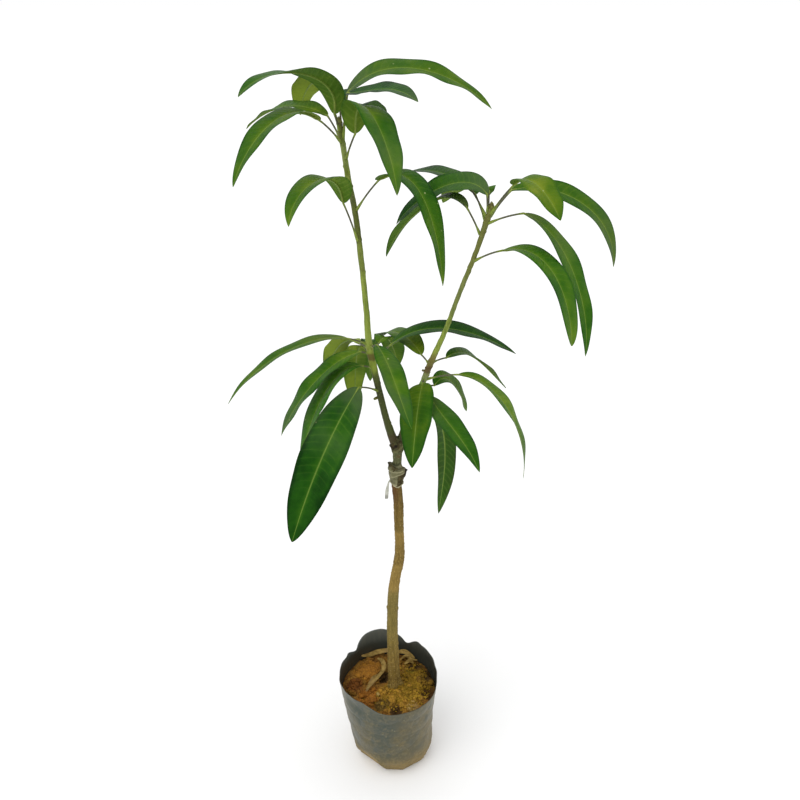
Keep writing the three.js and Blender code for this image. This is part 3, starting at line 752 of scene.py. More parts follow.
def earth_finish(name, shift=0.0):
    """Earth with its patches. shift is a share of brightness added, for loose crumbs."""
    earth = Finish(name, Roughness=0.95, Specular_IOR_Level=0.15)
    grain = earth.noise(420, 3, 0.7)
    lump = earth.noise(75, 3, 0.6)
    wander = 0.022 * (earth.noise(48, 3, 0.6) - 0.5)
    brown, tan = (0.20 + shift, 0.085 + shift, 0.014), (0.30 + shift, 0.15 + shift, 0.026)
    colour = earth.mix(lump.band(0.35, 0.65), brown, tan)
    for x, y, z, radius, first, second in EARTH_PATCHES_AND_SHADE:
        tone = earth.mix(lump.band(0.38, 0.62), first, second)
        colour = earth.mix(earth.spot(x, y, z, radius, wander) * 0.9, colour, tone)
    colour = earth.mix(grain.band(0.60, 0.40) * 0.32, colour, (0.050, 0.024, 0.008))
    colour = earth.mix(grain.band(0.66, 0.76) * 0.4, colour, (0.50, 0.36, 0.15))
    gaps = earth.facets(150).band(0.06, 0.0)
    colour = earth.mix(gaps * 0.2, colour, (0.025, 0.012, 0.005))
    return earth.surface(colour, 0.95, grain * 0.6 + lump * 0.8 - gaps * 0.5, 1.6, 0.9)


earth = earth_finish("potting_earth")
loose = earth_finish("loose_earth", 0.02)
print("nodes of the earth", len(earth.tree.nodes), "and of the loose earth", len(loose.tree.nodes))

# %% [markdown]
# Crumbs are small balls, so seven rings of nine points are enough for each. Chance draws where they lie, and
# the square root of an even draw is what spreads them evenly over a round ground. None may lie in the trunk
# or on the big golden lump.

# %% Crumbs on the earth
def lump_rows(rows=7, corners=9):
    """A unit ball as rows from its lowest to its highest ring."""
    tilt = np.linspace(-0.42, 0.42, rows) * math.pi
    a = TURN * np.arange(corners) / corners
    flat = np.cos(tilt)[:, None]
    return np.stack([flat * np.cos(a), flat * np.sin(a), np.sin(tilt)[:, None] + 0 * a], -1)


def crumbs(places, sizes, seed):
    """One closed lump for each place in millimetres: a ball made uneven by waves that differ from place to
    place, drawn out along two axes, and sunk a third into the ground."""
    random = np.random.default_rng(seed)
    ball = lump_rows()
    made = []
    for (x, y), size in zip(places, sizes):
        stretch = random.uniform([0.8, 0.7, 0.55], [1.3, 1.1, 0.9])
        uneven = 1 + 0.32 * waves(ball + 7 * random.normal(size=3), 1.6, seed)[..., None]
        centre = np.array([x, y, float(ground(np.array([x]), np.array([y]))[0]) + 0.25 * size])
        rows = (centre + size * stretch * uneven * ball) * MM
        made.append(even_shell(rows))
    return made


CRUMBS = 420
GROUND_RADIUS = 76
earth_random = np.random.default_rng(40)
crumb_share = 0.93 * np.sqrt(earth_random.uniform(0.03, 1, CRUMBS))
crumb_turn = earth_random.uniform(0, TURN, CRUMBS)
crumb_x = LEAN * GROUND + GROUND_RADIUS * crumb_share * np.cos(crumb_turn)
crumb_y = GROUND_RADIUS * crumb_share * np.sin(crumb_turn)
clear = (np.hypot(crumb_x, crumb_y) > 15) & (np.hypot(crumb_x + 43, crumb_y - 27) > 17)
crumb_places = np.stack([crumb_x, crumb_y], -1)[clear]
crumb_sizes = earth_random.gamma(2.2, 0.75, CRUMBS)[clear] + 0.6
piece("potting_earth", [even_shell(earth_rows)], [earth], "soil", "soil")
piece("earth_crumbs", crumbs(crumb_places, crumb_sizes, 41), [loose], "soil")
print("crumbs", len(crumb_places), "triangles", pieces["earth_crumbs"])

# %% [markdown]
# Moss has grown on the right half of the earth and in front of the trunk, and most of it is dry and golden.
# At this scale it is a crowd of tiny cushions, so it is made as the crumbs are, closer together, with a
# finish of its own that is green only where the moss is fresh.

# %% Moss
moss = Finish("moss", Roughness=0.95, Specular_IOR_Level=0.1)
moss_tuft = moss.noise(260, 3, 0.7)
moss_tone = moss.mix(moss.noise(60).band(0.4, 0.65), (0.190, 0.108, 0.009), (0.330, 0.195, 0.020))
moss_green = moss.spot(28, 26, 150, 18, 0.02 * moss.noise(50)) + 0.3 * moss.noise(38).band(0.55, 0.7)
moss_tone = moss.mix((moss_green * 0.8).band(0, 1), moss_tone, (0.120, 0.105, 0.010))
# Painted shade: the moss by the right wall is darkened where the wall shades it.
moss_tone = moss.mix(moss.spot(54, 8, 150, 24, 0.02 * moss.noise(50)) * 0.6, moss_tone, (0.090, 0.048, 0.007))
moss_tone = moss.mix(moss_tuft.band(0.6, 0.4) * 0.35, moss_tone, (0.08, 0.055, 0.008))
moss.surface(moss_tone, 0.95, moss_tuft, 1.4, 1.0)
MOSS_RIGHT, MOSS_FRONT = 620, 200
moss_spread = earth_random.normal([[34, 4]], [[17, 22]], (MOSS_RIGHT, 2))
moss_front = earth_random.normal([[4, -34]], [[18, 11]], (MOSS_FRONT, 2))
moss_places = np.concatenate([moss_spread, moss_front])
moss_out = np.hypot(moss_places[:, 0] + 9, moss_places[:, 1])
moss_places = moss_places[(moss_out < 72) & (np.hypot(*moss_places.T) > 14)]
moss_sizes = earth_random.uniform(1.1, 2.9, len(moss_places))
piece("moss_cushions", crumbs(moss_places, moss_sizes, 43), [moss], "soil")
print("moss cushions", len(moss_places))

# %% [markdown]
# Dry leaf litter lies on the earth: two long pale strips along the back wall, curled slivers behind the
# trunk, a crescent beside it on the left, and a few scraps. Each is a thin closed strip swept along a short
# path, wider in its middle than at its ends, and cupped across like a real dry blade.

# %% Leaf litter
litter = Finish("dry_litter", Roughness=0.8, Specular_IOR_Level=0.2)
fibre = litter.noise(95, 4, 0.65, litter.stretched(1, 1, 3))
litter_colour = litter.mix(fibre.band(0.35, 0.65), (0.150, 0.095, 0.021), (0.285, 0.190, 0.052))
litter_colour = litter.mix(litter.noise(38).band(0.50, 0.68) * 0.35, litter_colour, (0.17, 0.095, 0.055))
litter.surface(litter_colour, 0.8, fibre, 0.5, 0.7)


def strip(knots, width, lean, cup, rows=60, corners=20):
    """A dry strip along knots of x, y and millimetres above the earth. Its width is its middle's times about
    sin(pi s)^0.6, lean turns it about its path in degrees, and cup lifts both edges by a share of half the
    width."""
    knots = np.array(knots, float)
    knots[:, 2] = ground(knots[:, 0], knots[:, 1]) + knots[:, 2]
    s = np.linspace(0, 1, rows)
    path = hermite(knots, s)
    along = unit(np.gradient(path, axis=0))
    side, top = frames(along, np.cross(UP, along))
    a = math.radians(lean)
    side, top = side * math.cos(a) + top * math.sin(a), top * math.cos(a) - side * math.sin(a)
    half = (width / 2 * np.sin(math.pi * (0.03 + 0.94 * s)) ** 0.6)[:, None]
    made = rings(path, side, top, half, 0.28 + 0 * half, corners)
    across = np.cos(TURN * np.arange(corners) / corners)
    places = path[:, None] + side[:, None] * (half * across)[..., None]
    lift = cup * half * across**2 + 0.5 * waves(places, 14, 51)
    return even_shell((made + top[:, None] * lift[..., None]) * MM)


litter_shells = [
    strip([(-58, 62, 11), (-47, 67, 7), (-30, 70, 9), (-8, 72, 10), (6, 69, 8)], 8.5, 28, 0.3),
    strip([(4, 71, 9), (18, 70, 10), (36, 58, 7)], 8, 34, 0.3),
    strip([(10, 54, 5), (20, 57, 9), (28, 53, 6), (40, 48, 8)], 9, -12, 0.5),
    strip([(18, 47, 4), (27, 50, 8), (34, 43, 6)], 6, 25, 0.4),
    strip([(-29, 57, 6), (-20, 43, 9), (-17, 25, 12), (-25, 4, 12), (-43, -20, 8)], 8.5, 20, 0.45),
    strip([(-27, 12, 9), (-36, -4, 10), (-47, -22, 7)], 8, -22, 0.3),
    strip([(-12, 46, 3), (-2, 44, 4), (8, 40, 3)], 4, 0, 0.3),
    strip([(-28, -30, 5), (-25, -37, 5)], 5, 0, 0.1),
]
piece("dry_litter", litter_shells, [litter], "soil")
print("litter strips", len(litter_shells))

# %% [markdown]
# ## The trunk
# The rootstock is a straight young trunk, cut flat at the soil line where it flares. Its bark is thin: fine
# furrows run along it, small corky dots break them, and old buds leave low bumps. The limb's own radius gives
# the taper and the slow bends, and the relief moves each ring's points out or in by parts of a millimetre.
# A bump's row gives its turn in degrees, its height, how far it stands out and its radius.

# %% The trunk's relief
ROOTSTOCK = Limb([
    (1, 0, 143, 14.5), (0.7, 0, 147, 12.4), (0.4, 0, 152, 10.8), (0, 0, 160, 9.8), (-1, 0, 200, 9.3),
    (-2.5, 0, 270, 8.6), (-1, 0, 330, 8.2), (3, 0, 368, 7.9), (8, 0, 397, 7.8), (9.5, 0, 425, 7.4),
    (9, 0, 455, 7.2), (7, 0, 510, 7.2), (5, 0, 536, 7.5),
])
TRUNK_DEGREE = 0.14  # millimetres round the trunk in one degree
BUMPS = [(188, 308, 1.5, 7), (-8, 306, 1.1, 6), (250, 236, 1.0, 8), (80, 260, 1.2, 8), (300, 372, 1.2, 8),
         (200, 398, 1.3, 9), (20, 414, 1.0, 8), (230, 452, 0.9, 7), (110, 470, 1.1, 8), (350, 500, 0.8, 7),
         (150, 190, 1.2, 9), (30, 215, 1.0, 8), (265, 168, 1.3, 9)]


def degrees_away(angle, turn):
    """Degrees from a turn to an angle in radians, the shorter way round."""
    return (np.degrees(angle) - turn + 180) % 360 - 180


def bark_relief(points, angle, height):
    """Metres of relief: slow swellings, furrows from cells drawn out five times along the trunk, corky dots,
    and the low bump of each old bud at its angle and height."""
    long_way = points * [1, 1, 0.2]
    furrow = cells(long_way, 2.6 * MM, 61)[1]
    fine = cells(points * [1, 1, 0.35], 1.3 * MM, 62)[1]
    corky = cells(points * [1, 1, 1.6], 5.2 * MM, 63)[0]
    relief = 0.35 * waves(long_way, 16 * MM, 64) + 0.22 * waves(points, 6 * MM, 65)
    relief = relief + 0.26 * np.minimum(furrow * 3, 1) + 0.12 * np.minimum(fine * 3, 1)
    relief = relief + 0.3 * ease(corky, 0.3, 0.12)
    for turn, level, rise, radius in BUMPS:
        away = degrees_away(angle, turn) * TRUNK_DEGREE
        relief = relief + rise * hump(np.hypot(away, height / MM - level), radius * 0.6)
    flare = ease(height / MM, 166, 146)
    return (relief + flare * (1.2 * np.cos(5 * angle + 0.7) + 0.8 * np.cos(3 * angle))) * MM


print("the trunk is", round(float(np.ptp(ROOTSTOCK.knots[:, 2])), 3), "m tall")

# %% [markdown]
# The bark's colour is tan, and it changes on the way up: there is a faint green band half-way, two lengths
# above it made paler by painted light, and dark brown with rust on its left below the graft. Each is a band
# of the height on the object, with an edge that noise makes ragged. The cut wood of the cup and two dark
# spots at the ends of its lips come last.

# %% The trunk's finish
def bark_finish(name, old, young, furrow_colour, wash):
    """Bark: streaks along the limb between two tans, dark furrows, pale corky dots, and a wash of another
    colour in soft patches."""
    bark = Finish(name, Roughness=0.8, Specular_IOR_Level=0.12)
    streak = bark.noise(240, 4, 0.65, bark.stretched(1, 1, 0.12))
    fine = bark.noise(900, 3, 0.7, bark.stretched(1, 1, 0.3))
    patch = bark.noise(26, 3, 0.6)
    colour = bark.mix(streak.band(0.32, 0.68), old, young)
    colour = bark.mix(patch.band(0.5, 0.72) * 0.55, colour, wash)
    cracks = bark.facets(420, place=bark.stretched(1, 1, 0.2)).band(0.09, 0.0)
    colour = bark.mix(cracks * 0.4 + fine.band(0.6, 0.35) * 0.3, colour, furrow_colour)
    dots = bark.facets(190, "F1", bark.stretched(1, 1, 1.5)).band(0.26, 0.14)
    colour = bark.mix(dots * 0.5, colour, tuple(min(1, 1.5 * c + 0.05) for c in young))
    return bark, colour, streak * 0.5 + fine * 0.6 - cracks * 0.7 + dots * 0.5


trunk_bark, trunk_colour, trunk_height = bark_finish(
    "trunk_bark", (0.170, 0.110, 0.022), (0.280, 0.190, 0.050), (0.070, 0.045, 0.014), (0.150, 0.112, 0.030))
trunk_z = trunk_bark.part(trunk_bark.place, "Z")
trunk_x = trunk_bark.part(trunk_bark.place, "X")
green_band = (trunk_z + 0.03 * trunk_bark.noise(14)).band(0.21, 0.30) * trunk_z.band(0.355, 0.335)
trunk_colour = trunk_bark.mix(green_band * 0.35, trunk_colour, (0.185, 0.18, 0.055))
# Painted light: two lengths of the trunk are paler where light falls on them.
painted_lit_lengths = trunk_z.band(0.335, 0.350) * trunk_z.band(0.400, 0.390)
painted_lit_lengths = painted_lit_lengths + trunk_z.band(0.425, 0.438) * trunk_z.band(0.462, 0.452)
trunk_colour = trunk_bark.mix(painted_lit_lengths * 0.35, trunk_colour, (0.400, 0.270, 0.075))
trunk_colour = trunk_bark.mix(trunk_z.band(0.460, 0.530) * 0.4, trunk_colour, (0.075, 0.048, 0.018))
rusty = (trunk_z + 0.012 * trunk_bark.noise(90)).band(0.500, 0.532)
rusty = rusty * (trunk_x + 0.004 * trunk_bark.noise(120)).band(0.014, 0.002)
trunk_colour = trunk_bark.mix(rusty * 0.75, trunk_colour, (0.130, 0.058, 0.020))
cup_wood = trunk_bark.noise(130, 3, 0.65).band(0.35, 0.65)
cup_tone = trunk_bark.mix(cup_wood, (0.045, 0.034, 0.014), (0.110, 0.092, 0.040))
trunk_colour = trunk_bark.mix(trunk_z.band(0.536, 0.541), trunk_colour, cup_tone)
# Two dark spots at the ends of the cup's lips.
dark_lip_spots = trunk_bark.spot(20, -4, 561, 8.5, 0.003 * trunk_bark.noise(200))
dark_lip_spots = dark_lip_spots + trunk_bark.spot(-7, -2, 571, 4.5, 0.002)
trunk_colour = trunk_bark.mix((dark_lip_spots * 0.85).band(0, 1), trunk_colour, (0.028, 0.02, 0.012))
trunk_bark.surface(trunk_colour, 0.8, trunk_height, 0.7, 0.9)
print("nodes of the trunk's bark", len(trunk_bark.tree.nodes))

# %% [markdown]
# At the graft the trunk was cut across and split, and its top has swollen into a cup round the scion. The
# left lip is higher than the right one, and both ends are bare dark wood. The rings of the trunk are simply
# carried on: each is wider than the one below, and the last ones tilt, then turn in over the cut.

# %% The cup of the graft
CUP_FOOT, CUP_TOP = 537.0, 568.5
FOOT_RADIUS, CUP_WIDE, CUP_DEEP = 7.6, 14.2, 8.8
CUP_RINGS = 34


def cup_reach(share):
    """Half the cup's width and half its depth in millimetres at a share of its height. Both start from the
    trunk's radius, and the depth is plumper half-way up."""
    wide = FOOT_RADIUS + (CUP_WIDE - FOOT_RADIUS) * share**1.25
    deep = (FOOT_RADIUS + (CUP_DEEP - FOOT_RADIUS) * share) * (1 + 0.5 * share * (1 - share))
    return wide, deep


def cup_rows(corners):
    """Rings from the trunk to the cut, in metres. The rim stands 6.5 mm higher on the left than in the middle
    and 1 mm higher in front, and three rings close in over the cut."""
    share = np.concatenate([np.linspace(0.06, 1, CUP_RINGS), [1.0, 1.0, 1.0]])[:, None]
    inward = np.concatenate([np.ones(CUP_RINGS), [0.9, 0.55, 0.2]])[:, None]
    a = TURN * np.arange(corners) / corners
    wide, deep = (reach * inward for reach in cup_reach(share))
    x = 5 + 1.6 * share + wide * np.cos(a)
    y = deep * np.sin(a)
    z = CUP_FOOT + share * (CUP_TOP - CUP_FOOT - inward * (6.5 * np.cos(a) + np.sin(a)))
    z = z - 2.2 * (1 - inward) * share
    points = np.stack([x, y, z], -1)
    out = unit(np.stack([np.cos(a) + 0 * x, np.sin(a) + 0 * x, 0 * x], -1))
    relief = 0.5 * waves(points, 9, 71) + 0.4 * waves(points, 4, 72)
    relief = relief + 0.4 * np.minimum(cells(points, 3.2, 73)[1] * 3, 1)
    return (points + out * (relief * (0.3 + 0.7 * inward))[..., None]) * MM


TRUNK_CORNERS = 84
TRUNK_RINGS = 430
trunk_rows = limb_rows(ROOTSTOCK, np.linspace(0, 1, TRUNK_RINGS), TRUNK_CORNERS, bark_relief)
trunk_rows = np.concatenate([trunk_rows, cup_rows(TRUNK_CORNERS)])
piece("trunk", [even_shell(trunk_rows)], [trunk_bark], "bark", "rootstock")
print("trunk", pieces["trunk"], "triangles")

# %% [markdown]
# ## The scion and its node
# Out of the cup rises the grafted shoot: a short grey-green neck with a reddish patch, and then a knobby,
# dark node from which both stems fork. Knobs are humps at their own angle and height, given as the trunk's
# bumps are, and cells between them give the wrinkled bark of an old node.

# %% Neck and node
SCION = Limb([
    (6.5, 0, 556, 5.5), (5.8, 0, 566, 6.6), (5.8, 0, 578, 6.2), (6.2, 0, 590, 6.6), (6, 0, 599, 9.2),
    (6, 0, 606, 9.6), (5.6, 0, 612, 8.4), (5.2, 0, 617, 4.2),
])
NODE_DEGREE = 0.15  # millimetres round the node in one degree
KNOBS = [(185, 604, 2.0, 6), (182, 616, 3.6, 8), (8, 597, 2.2, 5), (255, 608, 1.6, 5), (300, 601, 1.4, 5),
         (60, 606, 2.0, 6), (125, 600, 1.8, 6), (225, 597, 1.2, 5), (340, 608, 1.6, 6), (95, 611, 1.2, 5)]


def node_relief(points, angle, height):
    """Metres of relief: wrinkles from cells, soft lumps, and the knobs."""
    wrinkle = cells(points * [1, 1, 1.4], 3.4 * MM, 81)[1]
    fine = cells(points, 1.6 * MM, 82)[1]
    knobby = ease(height / MM, 590, 600)
    relief = 0.3 * waves(points, 7 * MM, 83) + (0.2 + 0.5 * knobby) * np.minimum(wrinkle * 2.5, 1)
    relief = relief + 0.2 * np.minimum(fine * 3, 1)
    for turn, level, rise, radius in KNOBS:
        away = degrees_away(angle, turn) * NODE_DEGREE
        relief = relief + rise * hump(np.hypot(away, height / MM - level), radius * 0.62)
    return relief * MM


node_bark, node_colour, node_height = bark_finish(
    "node_bark", (0.100, 0.108, 0.046), (0.185, 0.190, 0.088), (0.045, 0.040, 0.016), (0.130, 0.145, 0.055))
node_z = node_bark.part(node_bark.place, "Z")
dark_node = (node_z + 0.006 * node_bark.noise(120)).band(0.596, 0.606)
dark_wood = node_bark.noise(170, 3, 0.6).band(0.4, 0.62)
dark_tone = node_bark.mix(dark_wood, (0.030, 0.020, 0.009), (0.082, 0.058, 0.025))
worn = node_bark.noise(95, 2, 0.6).band(0.66, 0.48)
node_colour = node_bark.mix(dark_node * (0.45 + 0.5 * worn), node_colour, dark_tone)
node_grain = node_bark.noise(150)
reddish_patch = node_bark.spot(8, -7, 588, 7, 0.006 * node_grain)
node_colour = node_bark.mix(reddish_patch * 0.4, node_colour, (0.15, 0.080, 0.036))
slanted = node_bark.part(node_bark.place, "X") * 0.8 - node_z + 0.594
node_ridge = abs(slanted).band(0.0035, 0.001) * node_z.band(0.612, 0.604)
node_colour = node_bark.mix(node_ridge * 0.6, node_colour, (0.205, 0.195, 0.085))
# Painted shade: a very dark spot in a hollow of the node.
painted_shade_hollow = node_bark.spot(4, -10, 607, 3.2, 0.002 * node_grain)
node_colour = node_bark.mix(painted_shade_hollow * 0.9, node_colour, (0.016, 0.011, 0.008))
shade_line = node_z.band(0.5715, 0.573) * node_z.band(0.5775, 0.575)
node_colour = node_bark.mix(shade_line * 0.6, node_colour, (0.03, 0.032, 0.015))
node_bark.surface(node_colour, 0.8, node_height, 0.8, 1.0)
SCION_RINGS, SCION_CORNERS = 150, 72
scion_rows = limb_rows(SCION, np.linspace(0, 1, SCION_RINGS), SCION_CORNERS, node_relief)
piece("scion_node", [even_shell(scion_rows)], [node_bark], "young_bark", "scion")
print("scion_node", pieces["scion_node"], "triangles")

# %% [markdown]
# ## The grafting tape
# Clear film tape is wound round the cup and has gone dull and green with age. Only its turned-over edges
# still look pale. A winding is a ribbon whose angle runs on while its height climbs. One wide length goes
# round the back and the left, a second crosses it in front at a steep slope, and a third closes the cup
# against the neck, so its upper edge is drawn in. The front right is left bare. The lower edge of each is
# rolled into a pale line.

# %% Tape
def cup_oval(height, angle, out):
    """A point in metres that is out millimetres off the cup at a height and an angle."""
    share = np.clip((height - CUP_FOOT) / (CUP_TOP - CUP_FOOT), 0, 1)
    wide, deep = (reach + out for reach in cup_reach(share))
    return np.stack([5 + 1.6 * share + wide * np.cos(angle), deep * np.sin(angle), height], -1) * MM


def tape_rows(turns, heights, width, tips, out, gather=0.0, rows=260, corners=22):
    """A ribbon along the cup from one turn to another, in shares of a whole turn, with its lower edge between
    two heights. Its section runs round from the lower edge to the upper one and back. The tips say how much
    higher it lies on the left than in the middle at its ends, out how far off the cup it is, and gather how
    far in its upper edge is drawn."""
    t = np.linspace(0, 1, rows)[:, None]
    a = TURN * np.arange(corners) / corners
    angle = TURN * (turns[0] + (turns[1] - turns[0]) * t) + 0 * a
    across = 0.5 + 0.5 * np.cos(a)
    tip = -(tips[0] + (tips[1] - tips[0]) * t) * np.cos(angle)
    height = heights[0] + (heights[1] - heights[0]) * t + width * across + tip
    flat = np.stack([12 * np.cos(angle), 12 * np.sin(angle), height], -1)
    creases = np.minimum(3 * cells(flat * [1, 1, 2], 5, 92)[1], 1)
    wrinkle = 0.35 * waves(flat * [1, 1, 2.2], 7, 91) + 0.22 * creases
    rolled = 0.65 * hump(across, 0.13) + 0.35 * hump(across - 1, 0.1)
    return cup_oval(height, angle, out + 0.5 * t + wrinkle + rolled + 0.22 * np.sin(a) - gather * across**2)


tape = Finish("grafting_tape", Roughness=0.38, Specular_IOR_Level=0.22)
tape_across = tape.uv()[1]
tape_dirt = tape.noise(150, 4, 0.65)
tape_tone = tape.mix(tape_dirt.band(0.3, 0.7), (0.078, 0.074, 0.032), (0.190, 0.180, 0.090))
edge_line = abs(tape_across - 0.5).band(0.15, 0.07) + 0.6 * abs(tape_across - 0.5).band(0.44, 0.49)
tape_tone = tape.mix(edge_line * 0.65, tape_tone, (0.42, 0.39, 0.23))
tape_tone = tape.mix(tape.spot(20, -6, 554, 8, 0.004 * tape_dirt) * 0.8, tape_tone, (0.055, 0.042, 0.018))
tape.surface(tape_tone, 0.3 + 0.25 * tape_dirt, tape.noise(330, 3, 0.6) * 0.6 + tape_dirt * 0.6, 0.6, 0.8)

tape_windings = [
    tape_rows((0.05, 0.76), (540.0, 539.5), width=18.0, tips=(1.0, 2.0), out=0.7),
    tape_rows((0.44, 0.87), (547.5, 561.0), width=10.0, tips=(0.0, 0.0), out=1.3, gather=0.5),
    tape_rows((0.47, 0.84), (557.5, 564.5), width=12.0, tips=(5.5, 0.0), out=1.1, gather=7.0),
]
print("tape windings", [made.shape[:2] for made in tape_windings])

# %% [markdown]
# Below the windings one turn of tape has rolled into a cord and sags round the trunk, and a loose end hangs
# beside it. The cord is a closed ring with a twisted section. The end is a narrow strip with a curl, milky
# where it is clean and grey at its tip.

# %% Sagging turn and loose end
def sagging_turn(rows=160, corners=12):
    """A ring of rolled tape: once round the trunk, lowest in front, with a twist of five turns."""
    a = TURN * np.linspace(0, 1, rows)
    height = 542.0 + 1.6 * np.cos(a - 3.3) - 4.6 * hump(degrees_away(a, 275), 60)
    path = cup_oval(height, a, 1.7 + 0.3 * np.sin(3 * a)) / MM
    along = unit(np.gradient(path, axis=0))
    side, top = frames(along, UP + 0 * along)
    twist = 5 * a
    twisted = side * np.cos(twist)[:, None] + top * np.sin(twist)[:, None]
    wide, deep = np.full((rows, 1), 1.1), np.full((rows, 1), 0.75)
    return rings(path, twisted, np.cross(along, twisted), wide, deep, corners) * MM


def tape_tail(rows=90, corners=16):
    """The loose end: from the left of the tape it falls 31 mm, drifts left by the square root of the way
    down, and curls about its own length."""
    s = np.linspace(0, 1, rows)
    path = np.stack([-5.4 - 5.2 * np.sqrt(s), -2.2 - 1.6 * np.sin(2.4 * s), 545 - 31 * s], -1)
    along = unit(np.gradient(path, axis=0))
    side, top = frames(along, np.array([0.97, 0.25, 0.0]) + 0 * along)
    turn = 0.5 * np.sin(3.2 * s)[:, None]
    side, top = side * np.cos(turn) + top * np.sin(turn), top * np.cos(turn) - side * np.sin(turn)
    half = (1.2 + 1.4 * ease(s, 0.05, 0.55) - 0.6 * ease(s, 0.9, 1))[:, None]
    made = rings(path, side, top, half, 0.16 + 0 * half, corners)
    cup = 0.35 * np.cos(TURN * np.arange(corners) / corners) ** 2 * half
    return (made + top[:, None] * cup[..., None]) * MM


pale_tape = Finish("clean_tape", Roughness=0.35, Specular_IOR_Level=0.5)
pale_dirt = pale_tape.noise(210, 3, 0.6, pale_tape.stretched(1, 1, 0.3))
pale_z = pale_tape.part(pale_tape.place, "Z")
pale_tone = pale_tape.mix(pale_dirt.band(0.35, 0.7), (0.40, 0.40, 0.33), (0.60, 0.60, 0.53))
pale_tone = pale_tape.mix(pale_z.band(0.524, 0.518) * 0.55, pale_tone, (0.20, 0.20, 0.18))
pale_tape.surface(pale_tone, 0.35, pale_dirt, 0.3, 0.6)
rolled_tape = Finish("rolled_tape", Roughness=0.4, Specular_IOR_Level=0.5)
rolled_dirt = rolled_tape.noise(320, 3, 0.6)
rolled_tone = rolled_tape.mix(rolled_dirt.band(0.4, 0.65), (0.24, 0.21, 0.11), (0.46, 0.42, 0.25))
rolled_tape.surface(rolled_tone, 0.4, rolled_dirt, 0.4, 0.7)

winding_shells = [even_shell(made) for made in tape_windings]
turn_shell = even_shell(sagging_turn(), finish=1)
piece("graft_tape_windings", [*winding_shells, turn_shell], [tape, rolled_tape], "tape", "graft_tape")
piece("tape_loose_end", [even_shell(tape_tail())], [pale_tape], "tape", "tape_tail")
print("tape", pieces["graft_tape_windings"] + pieces["tape_loose_end"], "triangles")

# %% [markdown]
# ## The two green stems
# Each stem is smooth and yellow-green, with low ridges along it, and thickens where a whorl of leaves sits.
# A fallen leaf leaves a brown crescent there, so every whorl has a ring of scars. Their places are drawn from
# seeded chance within the whorl, as they stand in a spiral on the plant.

# %% The stems' paths and scars
LEFT_STEM = Limb([
    (3, 0, 604, 7.0), (-8, 1, 639, 5.2), (-20, 3, 691, 4.6), (-30, 5, 741, 5.2), (-33, 6, 758, 4.8),
    (-37, 9, 820, 3.9), (-45, 12, 908, 3.9), (-50, 14, 950, 3.8), (-57, 15, 985, 4.0), (-61, 16, 1015, 3.6),
    (-65, 17, 1044, 3.8), (-66, 17, 1052, 3.2), (-67, 17, 1060, 0.8),
])
RIGHT_STEM = Limb([
    (8, 0, 604, 5.0), (16, -3, 635, 4.2), (30, -8, 676, 3.8), (46, -15, 722, 4.2), (52, -18, 741, 4.4),
    (71, -20, 789, 3.3), (89, -24, 845, 3.1), (108, -28, 900, 3.2), (120, -31, 942, 3.8),
    (124, -32, 956, 3.2), (126, -32.5, 964, 0.8),
])


GOLDEN = 137.5  # the turn in degrees from one leaf, scar or scale to the next


def scars(whorls, seed):
    """Turn in degrees and height in millimetres of every leaf scar: so many in each whorl, spread over its
    height, one after the other by the golden angle."""
    random = np.random.default_rng(seed)
    found = []
    for low, high, count in whorls:
        for k in range(count):
            level = low + (high - low) * (k + random.uniform(0.2, 0.8)) / count
            found.append((GOLDEN * k + random.uniform(-15, 15), level))
    return np.array(found)


STEM_DEGREE = 0.075  # millimetres round a stem in one degree


def stem_relief(scar_list):
    """The relief of a stem with such scars: fine ridges along it, slow swellings, and for each scar a cushion
    with a dent above it."""

    def relief(points, angle, height):
        made = 0.13 * waves(points, 11 * MM, 101) + 0.1 * waves(points * [1, 1, 0.08], 2.2 * MM, 102)
        made = made + 0.08 * np.minimum(cells(points * [1, 1, 0.3], 1.1 * MM, 103)[1] * 3, 1)
        for turn, level in scar_list:
            away = degrees_away(angle, turn) * STEM_DEGREE
            up = height / MM - level
            made = made + 0.8 * hump(np.hypot(away, up), 2.6) - 0.3 * hump(np.hypot(away, up - 1.9), 1.6)
        return made * MM

    return relief


print("stems", [round(float(np.ptp(limb.knots[:, 2])), 3) for limb in (LEFT_STEM, RIGHT_STEM)], "m tall")

# %% [markdown]
# A stem's colour changes at every whorl: brown and woody low down, darkened further there by painted shade
# under the lower whorls, and dark where a whorl's scars stand close. More bands lie along it, partly the
# stem's own colours and partly painted light and shade: brighter where a length of it is young and lit, and
# darker where leaves shade it. Those bands are rows of two heights in metres, the share of the band's colour
# and the colour. A whorl's row gives two heights in millimetres and a number of scars.

